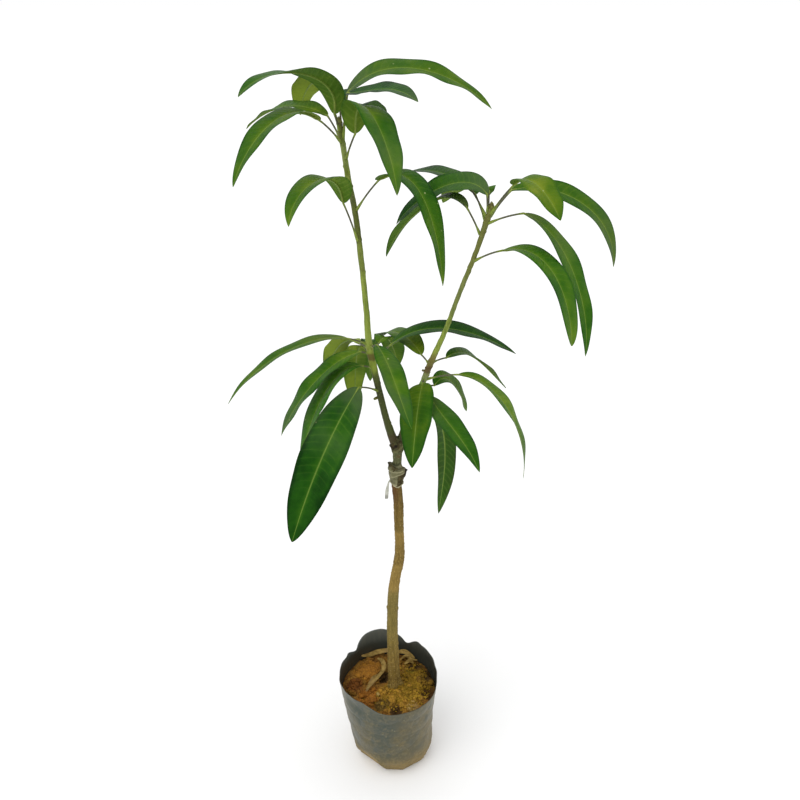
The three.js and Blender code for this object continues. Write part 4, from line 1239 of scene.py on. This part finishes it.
# %% The stems' finish
def stem_finish(name, brown_from, brown_to, colour_and_light_bands):
    """Green bark that is yellower in streaks and browner low down, at the whorls and towards the tip, where
    the brown starts and is full at two heights in metres. Low down, painted shade darkens it further. The
    further bands are more bands of colour, partly the stem's own and partly painted light and shade, each
    from a height to another in metres, with the share of its colour."""
    stem = Finish(name, Roughness=0.5, Specular_IOR_Level=0.18)
    streak = stem.noise(300, 3, 0.6, stem.stretched(1, 1, 0.1))
    patch = stem.noise(34, 3, 0.6)
    grain = stem.noise(700, 2, 0.6)
    level = stem.part(stem.place, "Z")
    colour = stem.mix(streak.band(0.3, 0.7), (0.118, 0.166, 0.020), (0.245, 0.305, 0.048))
    colour = stem.mix(patch.band(0.55, 0.75) * 0.35, colour, (0.125, 0.118, 0.034))
    # Painted shade: below the lower whorls the stem is darkened, partly woody bark and partly the shade of
    # the leaves above.
    woody_and_shaded = (level + 0.012 * patch).band(0.742, 0.700)
    colour = stem.mix(woody_and_shaded * 0.8, colour, (0.034, 0.038, 0.012))
    reddish = (level + 0.02 * patch).band(brown_from, brown_to)
    colour = stem.mix(reddish * 0.55, colour, (0.140, 0.120, 0.048))
    for low, high, share, tint in colour_and_light_bands:
        near = (level + 0.01 * patch - 0.005).band(low - 0.014, low) * level.band(high + 0.014, high)
        colour = stem.mix(near * share, colour, tint)
    dots = stem.facets(330, "F1", stem.stretched(1, 1, 0.7)).band(0.2, 0.1) * patch.band(0.4, 0.5)
    colour = stem.mix(dots * 0.45, colour, (0.34, 0.33, 0.16))
    return stem, colour, streak * 0.5 + grain * 0.35 + dots * 0.5


STEM_CORNERS = 30


def stem_piece(name, limb, whorls, colour_and_light_bands, rows, brown, collar_at, seed, node):
    """A stem with its relief, its scars painted brown, and a brown collar at one height in metres, where its
    second year's growth starts."""
    scar_list = scars(whorls, seed)
    made = limb_rows(limb, np.linspace(0, 1, rows), STEM_CORNERS, stem_relief(scar_list))
    finish, colour, height = stem_finish(name + "_bark", *brown, colour_and_light_bands)
    level = finish.part(finish.place, "Z")
    ragged = finish.noise(210, 3, 0.6).band(0.46, 0.6)
    for low, high, _ in whorls:
        inside_whorl = level.band(low * MM - 0.006, low * MM) * level.band(high * MM + 0.008, high * MM)
        colour = finish.mix(inside_whorl * ragged * 0.2, colour, (0.080, 0.050, 0.018))
    collar = abs(level + 0.004 * finish.noise(160) - collar_at).band(0.007, 0.003)
    colour = finish.mix(collar * 0.75, colour, (0.080, 0.045, 0.014))
    finish.surface(colour, 0.5, height, 0.35, 0.8)
    piece(name, [even_shell(made)], [finish], "green_stem", node)
    print(name, len(scar_list), "scars,", pieces[name], "triangles")


LEFT_WHORLS = [(640, 646, 2), (700, 712, 3), (733, 760, 12), (862, 868, 1), (905, 952, 4), (976, 1004, 5),
               (1030, 1050, 10)]
RIGHT_WHORLS = [(650, 656, 2), (700, 724, 6), (726, 746, 10), (800, 806, 1), (872, 892, 3), (926, 956, 9)]
# Bands along each stem: partly its own colours and partly painted light and shade, with pale bands where a
# length is lit and dark bands where leaves shade it, such as the right stem's dark foot.
LEFT_COLOUR_AND_LIGHT_BANDS = [(0.595, 0.618, 0.75, (0.058, 0.036, 0.016)), (0.752, 0.772, 0.6, (0.26, 0.33, 0.060)),
              (0.868, 0.905, 0.35, (0.070, 0.082, 0.018)), (0.912, 0.955, 0.6, (0.045, 0.052, 0.012)),
              (1.008, 1.026, 0.7, (0.24, 0.29, 0.085)), (1.036, 1.060, 0.4, (0.050, 0.062, 0.010)),
              (0.690, 0.712, 0.45, (0.026, 0.030, 0.010)), (0.728, 0.744, 0.4, (0.22, 0.29, 0.020)),
              (0.962, 0.974, 0.4, (0.050, 0.050, 0.036))]
RIGHT_COLOUR_AND_LIGHT_BANDS = [(0.595, 0.618, 0.75, (0.022, 0.022, 0.008)), (0.640, 0.690, 0.4, (0.06, 0.17, 0.014)),
               (0.695, 0.712, 0.6, (0.12, 0.30, 0.022)), (0.820, 0.860, 0.45, (0.110, 0.122, 0.050)),
               (0.895, 0.965, 0.35, (0.085, 0.090, 0.012)),
               (0.720, 0.730, 0.5, (0.25, 0.26, 0.130)), (0.737, 0.750, 0.6, (0.130, 0.070, 0.028))]
stem_piece("tall_stem", LEFT_STEM, LEFT_WHORLS, LEFT_COLOUR_AND_LIGHT_BANDS, rows=430, brown=(1.045, 1.07), collar_at=0.745,
           seed=111, node="left_stem")
stem_piece("short_stem", RIGHT_STEM, RIGHT_WHORLS, RIGHT_COLOUR_AND_LIGHT_BANDS, rows=360, brown=(0.80, 0.93), collar_at=0.735,
           seed=112, node="right_stem")

# %% [markdown]
# A stem ends in a bud: narrow scales that overlap in a spiral round a point. One scale is a small pointed
# shell that hugs the cone, and a loop of the golden angle sets the rest, smaller towards the top. The cut
# leaf stalk on either stem is a short tube, thicker at its foot.

# %% Buds and cut stalks
bud_scale = Finish("bud_scales", Roughness=0.6, Specular_IOR_Level=0.3)
bud_tone = bud_scale.noise(300, 3, 0.6)
bud_colour = bud_scale.mix(bud_tone.band(0.35, 0.6), (0.075, 0.060, 0.014), (0.165, 0.175, 0.034))
bud_scale.surface(bud_colour, 0.6, bud_tone, 0.3, 0.7)


def bud(top, length, radius, count=13, rows=14, corners=10):
    """Scales round a cone at a point in millimetres: each a flattened pointed shell, bowed out in its
    middle."""
    made = []
    top = np.array(top, float)
    for k in range(count):
        level = k / count
        out = heading(GOLDEN * k)
        s = np.linspace(0, 1, rows)
        reach = radius * (1 - 0.55 * level)
        start = top + UP * (length * (0.55 * level - 0.35)) + out * reach * 0.75
        path = start + s[:, None] * UP * length * (0.75 - 0.2 * level)
        path = path + out * (reach * (0.55 * np.sin(math.pi * s * 0.8) - 0.75 * s**2))[:, None]
        side, up = frames(unit(np.gradient(path, axis=0)), np.cross(UP, out) + 0 * path)
        half = (reach * 0.62 * np.sin(math.pi * (0.12 + 0.87 * s)) ** 0.8)[:, None]
        ring = rings(path, side, up, half, 0.28 + 0 * half, corners)
        made.append(even_shell(ring * MM))
    return made


def stub(limb, height, turn, length, radius, rise, rows=24, corners=16):
    """A cut leaf stalk: out of the stem at a turn and a rise, a little thicker at its foot."""
    share = limb.share_at(height * MM)
    centre = limb.at(np.array([share]))[0] / MM
    s = np.linspace(0, 1, rows)
    path = centre + s[:, None] * heading(turn, rise) * length
    side, top = frames(np.gradient(path, axis=0) / np.linalg.norm(path[1] - path[0]), UP + 0 * path)
    thick = (radius * (1 + 0.35 * ease(s, 0.45, 0.1)) * np.sqrt(1 - 0.75 * s**12))[:, None]
    return even_shell(rings(path, side, top, thick, thick, corners) * MM)


piece("tall_stem_bud", bud((-66.6, 17, 1055), length=13, radius=3.7), [bud_scale], "green_stem")
piece("short_stem_bud", bud((125.2, -32.3, 959), length=12, radius=3.6), [bud_scale], "green_stem")
stubs = [
    stub(LEFT_STEM, height=682, turn=178, length=11, radius=2.1, rise=-28),
    stub(RIGHT_STEM, height=728, turn=185, length=8, radius=1.7, rise=20),
]
piece("cut_stalks", stubs, [bud_scale], "green_stem")
print("buds", pieces["tall_stem_bud"] + pieces["short_stem_bud"], "triangles")

# %% [markdown]
# ## A mango leaf's finish
# A mango leaf is leathery and half glossy. A pale yellow-green midrib runs through it, about twenty pairs of
# side veins leave it at sixty degrees and bend forward at the edge, and a fine net fills the spaces. The UV
# map carries the share along the leaf and the share across it, so the veins are drawn by arithmetic: their
# phase is the share along times their number, less a part that grows towards the edge. On the underside the
# share across has 4 added, which tells the two faces apart. The green itself comes from a ramp, and a shade
# picks the place on it: the leaf's tone, which is partly its own green and partly painted light and shade,
# slow noise of three sizes, a painted sheen along the midrib, and a darker edge.

# %% The pattern of a leaf
VEINS = 21
VEIN_SWEEP = 1.25
UNDERSIDE = 4
GREENS = [
    (0.0, (0.003, 0.026, 0.001)), (0.2, (0.014, 0.062, 0.002)), (0.4, (0.040, 0.102, 0.004)),
    (0.6, (0.091, 0.145, 0.006)), (0.8, (0.182, 0.205, 0.014)), (1.0, (0.320, 0.300, 0.022)),
]

blade = Finish("leaf_blade", Roughness=0.42, Specular_IOR_Level=0.05)
along, across = blade.uv()
under = across > UNDERSIDE / 2
edge = abs(across - UNDERSIDE * under)
patch = blade.noise(15, 3, 0.55)
cloud = blade.noise(36, 2, 0.5)
mottle = blade.noise(85, 3, 0.6)
net = blade.facets(520).band(0.07, 0.0)
phase = along * VEINS - VEIN_SWEEP * edge**1.4 + 0.35 * (blade.noise(40, 2, 0.5) - 0.5)
from_vein = 0.5 - abs(phase.maths("FRACT") - 0.5)
drawn = (0.25 + 0.75 * blade.noise(20, 2, 0.5).band(0.4, 0.6)) * along.band(0.95, 0.25)
vein = from_vein.band(0.08, 0.015) * edge.band(1.0, 0.8)
glow = from_vein.band(0.30, 0.0)
midrib = edge.band(0.07, 0.025)
midrib_sheen = edge.band(0.3, 0.0)
rim = edge.band(0.72, 1.0)
print("nodes of the leaf's pattern", len(blade.tree.nodes))

# %% [markdown]
# Both faces take their green from the ramp. Where a leaf is painted as shaded, a cyan tint takes red out of
# it, and where it is painted as sunlit it stays yellower. The upper face then gets its painted grey sheen,
# and thin veins, midrib, edge and specks. The underside is paler, with veins and net that stand out instead
# of being sunk.

# %% The finish of a leaf
# A painted shade tint: a shaded leaf loses red and turns cyan, a sunlit one, with sun shining through it,
# stays yellower.
PAINTED_SHADE_TINT = (0.4, 1.0, 1.0)
RAMP_REACH = 0.8
tone, bloom, warm = (blade.mark(name) for name in ("tone", "bloom", "warm"))
painted_shade_share = 1 - warm
shade = tone + 0.7 * (patch - 0.5) + 0.5 * (cloud - 0.5) + 0.3 * (mottle - 0.5)
# A painted sheen lightens a band along the midrib.
shade = shade + 0.08 * glow * drawn + 0.15 * midrib_sheen - 0.24 * rim
face = blade.mix(painted_shade_share, blade.ramp(shade * RAMP_REACH, GREENS), PAINTED_SHADE_TINT, "MULTIPLY")
# Painted sheen: a grey tint laid over the upper face where it would mirror the pale sky.
face = blade.mix(bloom * blade.noise(22, 2, 0.5).band(0.25, 0.6), face, (0.085, 0.115, 0.058))
face = blade.mix(vein * drawn * 0.13 + net * 0.03, face, (0.13, 0.21, 0.035))
face = blade.mix(midrib * 0.32, face, (0.14, 0.24, 0.035))
face = blade.mix(edge.band(0.97, 0.99) * 0.3, face, (0.12, 0.16, 0.04))
speck = blade.facets(62, "F1").band(0.1, 0.05) * blade.noise(47).band(0.5, 0.6)
face = blade.mix(speck * 0.7, face, (0.40, 0.45, 0.2))
back = blade.mix(painted_shade_share, blade.ramp((shade + 0.12) * RAMP_REACH, GREENS), PAINTED_SHADE_TINT, "MULTIPLY")
back = blade.mix(0.2, back, (0.12, 0.17, 0.035))
back = blade.mix(vein * 0.16 + glow * 0.05 + net * 0.06, back, (0.19, 0.27, 0.06))
back = blade.mix(midrib * 0.6, back, (0.23, 0.31, 0.08))
colour = blade.mix(under, face, back)
height = mottle * 0.35 - vein * 0.7 - net * 0.3 + glow * -0.2 + under * (1.3 * vein + 0.5 * net)
blade.surface(colour, 0.36 + 0.12 * mottle + 0.18 * under + 0.1 * vein, height, 0.3, 0.5)
print("nodes of the whole leaf finish", len(blade.tree.nodes))

# %% [markdown]
# The stalk is swollen and yellow-green at its foot, thin and brownish in the middle, and green again where it
# runs on under the blade as the midrib. Its u counts 0 to 1 along the stalk and 1 to 2 along the blade.

# %% Stalk finish
stalk_finish = Finish("leaf_stalk", Roughness=0.48, Specular_IOR_Level=0.2)
stalk_along = stalk_finish.uv()[0]
stalk_tone = stalk_finish.noise(180, 3, 0.6)
stalk_colour = stalk_finish.mix(stalk_tone.band(0.35, 0.65), (0.15, 0.205, 0.028), (0.22, 0.28, 0.045))
tan_part = stalk_along.band(0.18, 0.45) * stalk_along.band(0.98, 0.75)
stalk_colour = stalk_finish.mix(tan_part * 0.85, stalk_colour, (0.075, 0.068, 0.052))
stalk_colour = stalk_finish.mix(stalk_along.band(1.0, 1.15) * 0.6, stalk_colour, (0.130, 0.225, 0.032))
stalk_finish.surface(stalk_colour, 0.48, stalk_tone, 0.25, 0.6)
print("nodes of the stalk", len(stalk_finish.tree.nodes))

# %% [markdown]
# ## A mango leaf's shape
# Every leaf is drawn by the same few sizes: where it leaves its stem, how far out and up its stalk ends and
# its tip hangs, the two angles that its midrib has at its ends, its width, and how it rolls and twists. A
# Bezier curve is the midrib. The outline is a power of the share along at the foot and another at the tip,
# which gives the long mango shape.

# %% A leaf's lines
LEAF_ROWS = 128
ENDS = (0.55, 0.8)


def bezier(share, *points):
    """Points of a Bezier curve: each pair of points is joined at the share, again and again."""
    share = share[:, None]
    level = [np.asarray(p, float) + 0 * share for p in points]
    while len(level) > 1:
        level = [a + (b - a) * share for a, b in zip(level, level[1:])]
    return level[0]


def outline(share, foot, point):
    """Half the width over its greatest: share^foot (1 - share)^point, over that at its widest place. A small
    power makes that end blunt."""
    peak = foot / (foot + point)
    return (share**foot * (1 - share) ** point) / (peak**foot * (1 - peak) ** point)


def leaf_lines(limb, at, turn, stalk, tip, rise, hang, grip):
    """The stalk's and the midrib's points in metres, the shares of the midrib's rows, which stand closer at
    both ends, and the leaf's level left. grip is how far each end's angle holds, in shares of the blade."""
    share = limb.share_at(at * MM)
    axis, up_stem = limb.at(np.array([share]))[0], limb.along(np.array([share]))[0]
    out = heading(turn)
    off_stem = unit(out - up_stem * (out @ up_stem))
    foot = axis + off_stem * float(limb.radius(share)) * 0.75
    neck, end = (axis + (out * far + UP * up) * MM for far, up in (stalk, tip))
    bow = (foot + neck) / 2 + UP * 0.08 * np.linalg.norm(neck - foot)
    even = np.linspace(0, 1, LEAF_ROWS)
    rows = 0.55 * even + 0.45 * (0.5 - 0.5 * np.cos(math.pi * even))
    span = np.linalg.norm(end - neck)
    leave, arrive = heading(turn, rise) * span * grip[0], heading(turn, hang) * span * grip[1]
    rib = bezier(rows, neck, neck + leave, end - arrive, end)
    return bezier(np.linspace(0, 1, 26), foot, bow, neck), rib, rows, np.cross(UP, out)


print("a blade is widest at", round(ENDS[0] / sum(ENDS), 2), "of its length")

# %% [markdown]
# The blade is one closed skin: from the left edge over the top to the right edge and back underneath. It
# folds up a little along the midrib, swells between the veins and waves at its edge, by an amount that
# differs from leaf to leaf. Its points carry the leaf's tone, its painted sheen and its painted sunlight for
# the finish to read.

# %% A leaf's blade
FOLD = math.sin(math.radians(9))
across_half = ease(np.linspace(0, 1, 14))
ACROSS = np.concatenate([across_half[::-1], -across_half[1:]])
UNDER = ACROSS[::-1][1:-1]
LEAF_V = np.concatenate([
    np.stack([ACROSS[:-1], ACROSS[1:]], -1),
    UNDERSIDE + np.stack([ACROSS[::-1][:-1], ACROSS[::-1][1:]], -1),
])


def blade_shell(rib, side, top, width, share, seed, tone, bloom, warm, ends):
    """The closed blade. Height over the midrib's level, for the share a across: fold |a|, a camber of
    |a| - a^2, pillows between the veins, and edge waves that grow with a^2."""
    random = np.random.default_rng(seed)
    half = (width / 2 * outline(np.clip(share, 0.0004, 0.9985), *ends))[:, None]
    ripple = random.uniform(0.7, 1.9)
    count, shift = random.uniform(1.8, 3.6, 2), random.uniform(0, 1, 2)
    fade = np.sin(math.pi * np.clip(share, 0, 1)) ** 0.7

    def height(a):
        size = np.abs(a)
        turns = np.where(a > 0, count[0] * share[:, None] + shift[0], count[1] * share[:, None] + shift[1])
        edge_wave = ripple * MM * size**2 * np.sin(TURN * turns) * fade[:, None]
        phase = VEINS * share[:, None] - VEIN_SWEEP * size**1.4
        pillow = -0.12 * MM * np.cos(TURN * phase) * 4 * size * (1 - size) * np.minimum(1, half / (12 * MM))
        return half * (FOLD * size + 0.16 * (size - size**2)) + edge_wave + pillow

    def sheet(a, heights):
        return rib[:, None] + side[:, None] * (half * a)[..., None] + top[:, None] * heights[..., None]

    thick = 0.34 * MM * np.minimum(1, half / (1.5 * MM))
    upper = sheet(ACROSS, height(ACROSS))
    lower = sheet(UNDER, height(UNDER) - thick * np.sqrt(1 - UNDER**2))
    across = np.concatenate([ACROSS, UNDER])
    thirds = [0.0, 0.5, 1.0]
    tones = np.interp(share, thirds, tone)[:, None] + 0 * across
    painted_sheens = np.interp(share, thirds, bloom)[:, None] + 0 * across
    marks = {"tone": tones, "bloom": painted_sheens, "warm": warm + 0 * painted_sheens}
    return shell(np.concatenate([upper, lower], 1), share, LEAF_V, **marks)


print("a blade's section has", len(LEAF_V), "steps in each of", LEAF_ROWS, "rows")

# %% [markdown]
# One thin tube is both the stalk and the midrib. It follows the stalk's curve and then the midrib's, and
# sinks into the blade as it goes, so that only a low ridge shows on top. A leaf is then put together: the
# two directions across the midrib are turned by its roll and twist, and a row's share is its distance along.

# %% A whole leaf
RIB_FOOT = 1.4  # radius of the midrib at the blade's foot in millimetres
RIB_SHOWS = 0.16  # its least radius, and how far it shows above the blade


def rod_shell(stalk, rib, side, top, share, corners=12):
    """Stalk and midrib as one tube: a radius of 2 mm at its foot and 1.2 mm along the stalk, then thinning to
    the tip and sinking under the blade until a sixth of a millimetre shows above it."""
    s = np.linspace(0, 1, len(stalk))
    stalk_radius = (1.2 + 0.85 * ease(s, 0.34, 0.04) + 0.2 * ease(s, 0.8, 1)) * MM
    rib_radius = np.maximum(RIB_SHOWS, RIB_FOOT * (1 - share) ** 0.75) * MM
    sunk = np.maximum((rib_radius - RIB_SHOWS * MM) * ease(share, 0, 0.05), 0.0)
    path = np.concatenate([stalk[:-1], rib - top * sunk[:, None]])
    radius = np.concatenate([stalk_radius[:-1], rib_radius])[:, None]
    along = unit(np.gradient(path, axis=0))
    first, second = frames(along, np.concatenate([np.repeat(side[:1], len(stalk) - 1, 0), side]))
    u = np.concatenate([s[:-1], 1 + share])
    return shell(rings(path, first, second, radius, radius, corners), u, round_steps(corners), finish=1)


def grow_leaf(node, limb, seed, at, turn, stalk, tip, rise, hang, width, tone, bloom, warm, roll, twist,
              grip, ends):
    """One leaf of the plant, which stands for the packed node of the same name."""
    stalk_line, rib, rows, left = leaf_lines(limb, at, turn, stalk, tip, rise, hang, grip)
    along = unit(np.gradient(rib, rows, axis=0))
    side, top = frames(along, left)
    angle = np.radians(roll + twist * rows)[:, None]
    side, top = side * np.cos(angle) + top * np.sin(angle), top * np.cos(angle) - side * np.sin(angle)
    run = np.concatenate([[0], np.cumsum(np.linalg.norm(np.diff(rib, axis=0), axis=1))])
    share = run / run[-1]
    skin = blade_shell(rib, side, top, width * MM, share, seed, tone, bloom, warm, ends)
    rod = rod_shell(stalk_line, rib, side, top, share)
    piece(node + "_blade", [skin, rod], [blade, stalk_finish], "leaf", node)
    return run[-1]


print("a midrib thins from a radius of", RIB_FOOT, "mm to", RIB_SHOWS, "mm")

# %% [markdown]
# ## The whorls
# The leaves stand in four whorls: at the top of either stem and half-way up each. The rows below give each
# leaf's sizes in millimetres and degrees: its height on the stem and its turn, where its stalk and its blade
# end, its midrib's angle at either end, and its width. Then comes its tone at its foot, middle and tip: one
# of four greens, which are partly the leaf's own green and partly painted light and shade. The painted sheen
# is a grey sheen painted at the same three places, and the painted sunlight says how far the leaf's green is
# painted as sunlit, leaning towards yellow. Roll and twist turn the blade about its midrib, grip says how far
# the angles at its ends hold, and ends are the two powers of its outline, of which a small one makes that end
# blunt.

# %% Leaves at the top of the tall stem
# The green levels are partly the leaves' own greens and partly painted light and shade; the level past the
# palest also paints the glow of a young leaf lit from behind.
DEEP, MID, PALE, FRESH_BACKLIT = 0.15, 0.5, 0.8, 1.3  # shares of the way from the deepest green to the palest
# A painted grey sheen where a leaf would mirror the pale sky; this is its strength.
GREY_SHEEN = 0.6  # how strong a grey veil is
# How far a leaf is painted as sunlit, with sun shining through it; low values paint it as shaded.
SHADED, SUNLIT = 0.1, 0.75  # how far a green leans towards yellow


def whorl(name, limb, rows):
    """Grows every leaf of a whorl and prints how long they are."""
    seeds = [200 + 37 * k + len(name) * 7 for k in range(len(rows))]
    lengths = [grow_leaf(f"{name}_{k + 1}", limb, seeds[k], **row) for k, row in enumerate(rows)]
    print(name, "blades of", np.round(np.array(lengths) / MM).astype(int).tolist(), "mm")


def leaf(at, turn, stalk, tip, rise, hang, width, tone, bloom=(0, 0, 0), warm=0.45, roll=0, twist=0,
         grip=(0.38, 0.38), ends=ENDS):
    """The sizes and tones of one leaf under their names."""
    return dict(at=at, turn=turn, stalk=stalk, tip=tip, rise=rise, hang=hang, width=width, tone=tone,
                bloom=bloom, warm=warm, roll=roll, twist=twist, grip=grip, ends=ends)


whorl("left_top_leaf", LEFT_STEM, [
    leaf(1047, -132, (10, 20), (158, 50), 108, -45, 41, (PALE, MID, MID),
         bloom=(0, 0, GREY_SHEEN), roll=30, twist=-40, grip=(0.38, 0.37)),
    leaf(1051, 124, (33, 43), (106, 4), 55, -85, 44, (FRESH_BACKLIT, FRESH_BACKLIT, FRESH_BACKLIT),
         roll=10, twist=-6, grip=(0.41, 0.36)),
    leaf(1037, 150, (21, 26), (155, 1), 22, -40, 38, (PALE, MID, MID),
         bloom=(GREY_SHEEN, 0, 0), warm=SUNLIT, roll=-10, grip=(0.37, 0.38)),
    leaf(1032, -125, (44, 31), (197, -26), 32, -64, 39, (PALE, MID, MID),
         warm=SUNLIT, roll=-8, twist=18, grip=(0.42, 0.32)),
    leaf(1042, 8, (9, 49), (195, 27), 49, -45, 40, (MID, MID, PALE),
         bloom=(GREY_SHEEN, 0, 0), warm=SUNLIT, roll=22, twist=6, grip=(0.37, 0.37)),
    leaf(1036, -49, (14, 56), (144, 55), 6, -26, 36, (DEEP, DEEP, MID),
         bloom=(0, 0, GREY_SHEEN), roll=22, twist=-12, grip=(0.41, 0.35)),
    leaf(1044, 61, (16, 14), (113, -4), 48, -55, 36, (DEEP, DEEP, DEEP),
         warm=SHADED, roll=-6, twist=-3, grip=(0.38, 0.39)),
    leaf(1011, -60, (30, 35), (134, -23), 92, -84, 50, (PALE, MID, PALE),
         bloom=(0, 0, GREY_SHEEN), roll=-14, grip=(0.68, 0.51)),
    leaf(946, -33, (39, 43), (136, -81), 34, -85, 46, (MID, MID, PALE),
         roll=2, twist=-2, grip=(0.46, 0.46), ends=(0.32, 0.8)),
    leaf(906, -125, (31, 55), (136, 45), 85, -83, 48, (MID, PALE, PALE),
         bloom=(GREY_SHEEN, 0, 0), roll=-2, twist=15, grip=(0.57, 0.46)),
    leaf(1028, 101, (22, 46), (115, 36), 45, -40, 30, (DEEP, DEEP, DEEP), warm=SHADED),
])

# %% [markdown]
# The short stem ends in nine leaves. The first four reach out to the right, three of them also forwards. The
# others grow behind the stem and show only in part, so their depth is guessed.

# %% Leaves at the top of the short stem
whorl("right_top_leaf", RIGHT_STEM, [
    leaf(952, -50, (39, 41), (115, 11), 50, -55, 44, (MID, PALE, MID),
         warm=SUNLIT, twist=12, grip=(0.38, 0.43)),
    leaf(948, 7, (28, 32), (172, -72), 16, -88, 38, (MID, MID, MID),
         bloom=(0, 0, GREY_SHEEN), warm=SUNLIT, roll=14, twist=39, grip=(0.29, 0.46)),
    leaf(940, -23, (48, 16), (141, -161), -13, -93, 34, (PALE, MID, MID),
         bloom=(GREY_SHEEN, 0, 0), roll=5, twist=29, grip=(0.28, 0.33)),
    leaf(890, -39, (43, 20), (152, -82), 22, -84, 40, (PALE, MID, PALE),
         roll=5, twist=-2, grip=(0.49, 0.41), ends=(0.55, 0.55)),
    leaf(952, 158, (4, 23), (127, -25), 55, -56, 44, (MID, MID, DEEP),
         bloom=(GREY_SHEEN, 0, 0), roll=-21, twist=-14, grip=(0.32, 0.4)),
    leaf(946, 129, (36, 34), (187, 22), 18, -30, 39, (MID, DEEP, DEEP),
         warm=SUNLIT, roll=-5, grip=(0.28, 0.38)),
    leaf(923, 148, (22, 32), (146, -49), 56, -72, 38, (PALE, MID, MID),
         bloom=(GREY_SHEEN, 0, 0), roll=-2, twist=9, grip=(0.34, 0.36)),
    leaf(948, 86, (15, 29), (50, 14), 42, -60, 18, (MID, MID, MID), roll=2, grip=(0.39, 0.39)),
    leaf(940, 111, (34, 29), (137, -2), 29, -39, 34, (MID, PALE, PALE),
         roll=12, twist=2, grip=(0.38, 0.39)),
])

# %% [markdown]
# A mango tree grows in bursts, and each leaves a whorl. The older leaves half-way up the tall stem hang lower
# than the new ones and reach mostly to the left. The fifth is the broadest blade of the tree.

# %% Leaves half-way up the tall stem
whorl("left_low_leaf", LEFT_STEM, [
    leaf(761, -173, (29, 9), (202, -83), 13, -58, 30, (PALE, MID, MID),
         bloom=(GREY_SHEEN, 0, 0), warm=SUNLIT, twist=-6, grip=(0.3, 0.36)),
    leaf(753, 127, (28, 0), (120, -74), 14, -60, 36, (FRESH_BACKLIT, FRESH_BACKLIT, PALE),
         roll=16, twist=8, grip=(0.33, 0.35)),
    leaf(748, -160, (15, 3), (134, -108), -4, -68, 40, (PALE, MID, MID),
         bloom=(0, 0, GREY_SHEEN), roll=-5, twist=3, grip=(0.3, 0.31)),
    leaf(727, -155, (17, 4), (116, -134), 20, -80, 42, (PALE, PALE, MID),
         bloom=(0, 0, GREY_SHEEN), warm=SHADED, grip=(0.3, 0.36)),
    leaf(692, -130, (42, 18), (182, -165), -38, -64, 62, (MID, DEEP, DEEP),
         bloom=(GREY_SHEEN, 0, 0), roll=-22, twist=-8, grip=(0.3, 0.37), ends=(0.55, 0.7)),
    leaf(742, 112, (28, 2), (80, -109), 10, -80, 40, (FRESH_BACKLIT, PALE, FRESH_BACKLIT), grip=(0.38, 0.37)),
    leaf(756, -68, (31, 14), (154, -56), -5, -28, 36, (MID, PALE, MID),
         bloom=(0, GREY_SHEEN, 0), roll=-10, grip=(0.33, 0.3)),
    leaf(749, 66, (29, 3), (95, -58), 32, -70, 38, (PALE, MID, PALE), bloom=(0, 0, GREY_SHEEN), twist=-10),
    leaf(737, 6, (27, 22), (207, 0), 42, -35, 42, (MID, DEEP, DEEP),
         warm=SUNLIT, twist=12, grip=(0.35, 0.38)),
    leaf(757, 92, (28, -8), (114, -103), 10, -60, 28, (MID, MID, MID), roll=2),
])

# %% [markdown]
# The older whorl of the short stem has seven leaves. The last is small and curled on the real plant, and is
# made as a plain hanging leaf.

# %% Leaves half-way up the short stem
whorl("right_low_leaf", RIGHT_STEM, [
    leaf(739, 123, (21, 8), (146, -14), 34, -50, 38, (PALE, MID, MID), warm=SUNLIT, roll=-7, twist=9),
    leaf(742, 40, (30, 0), (157, -84), 20, -44, 33, (MID, MID, MID),
         warm=SUNLIT, roll=10, grip=(0.31, 0.38)),
    leaf(717, -12, (47, 10), (146, -144), 7, -94, 36, (PALE, PALE, PALE),
         bloom=(0, 0, GREY_SHEEN), grip=(0.27, 0.45)),
    leaf(702, 38, (26, -4), (90, -64), 50, -72, 37, (MID, PALE, PALE),
         bloom=(0, 0, GREY_SHEEN), roll=2, twist=60, grip=(0.38, 0.42)),
    leaf(716, -99, (18, 1), (116, -78), -1, -60, 46, (PALE, MID, DEEP),
         warm=SUNLIT, roll=14, grip=(0.34, 0.32)),
    leaf(687, -66, (42, 18), (186, -26), -22, -37, 36, (PALE, MID, MID),
         bloom=(GREY_SHEEN, 0, 0), roll=1, twist=-12, grip=(0.34, 0.31)),
    leaf(694, 30, (12, -12), (38, -214), -45, -98, 42, (DEEP, DEEP, DEEP),
         warm=SHADED, roll=-12, twist=2, grip=(0.37, 0.29)),
])
print("pieces", len(pieces), "triangles", sum(pieces.values()), "most in one", max(pieces.values()))

# %% [markdown]
# ## Size
# The drawn plant has to stay in the packed model's box.
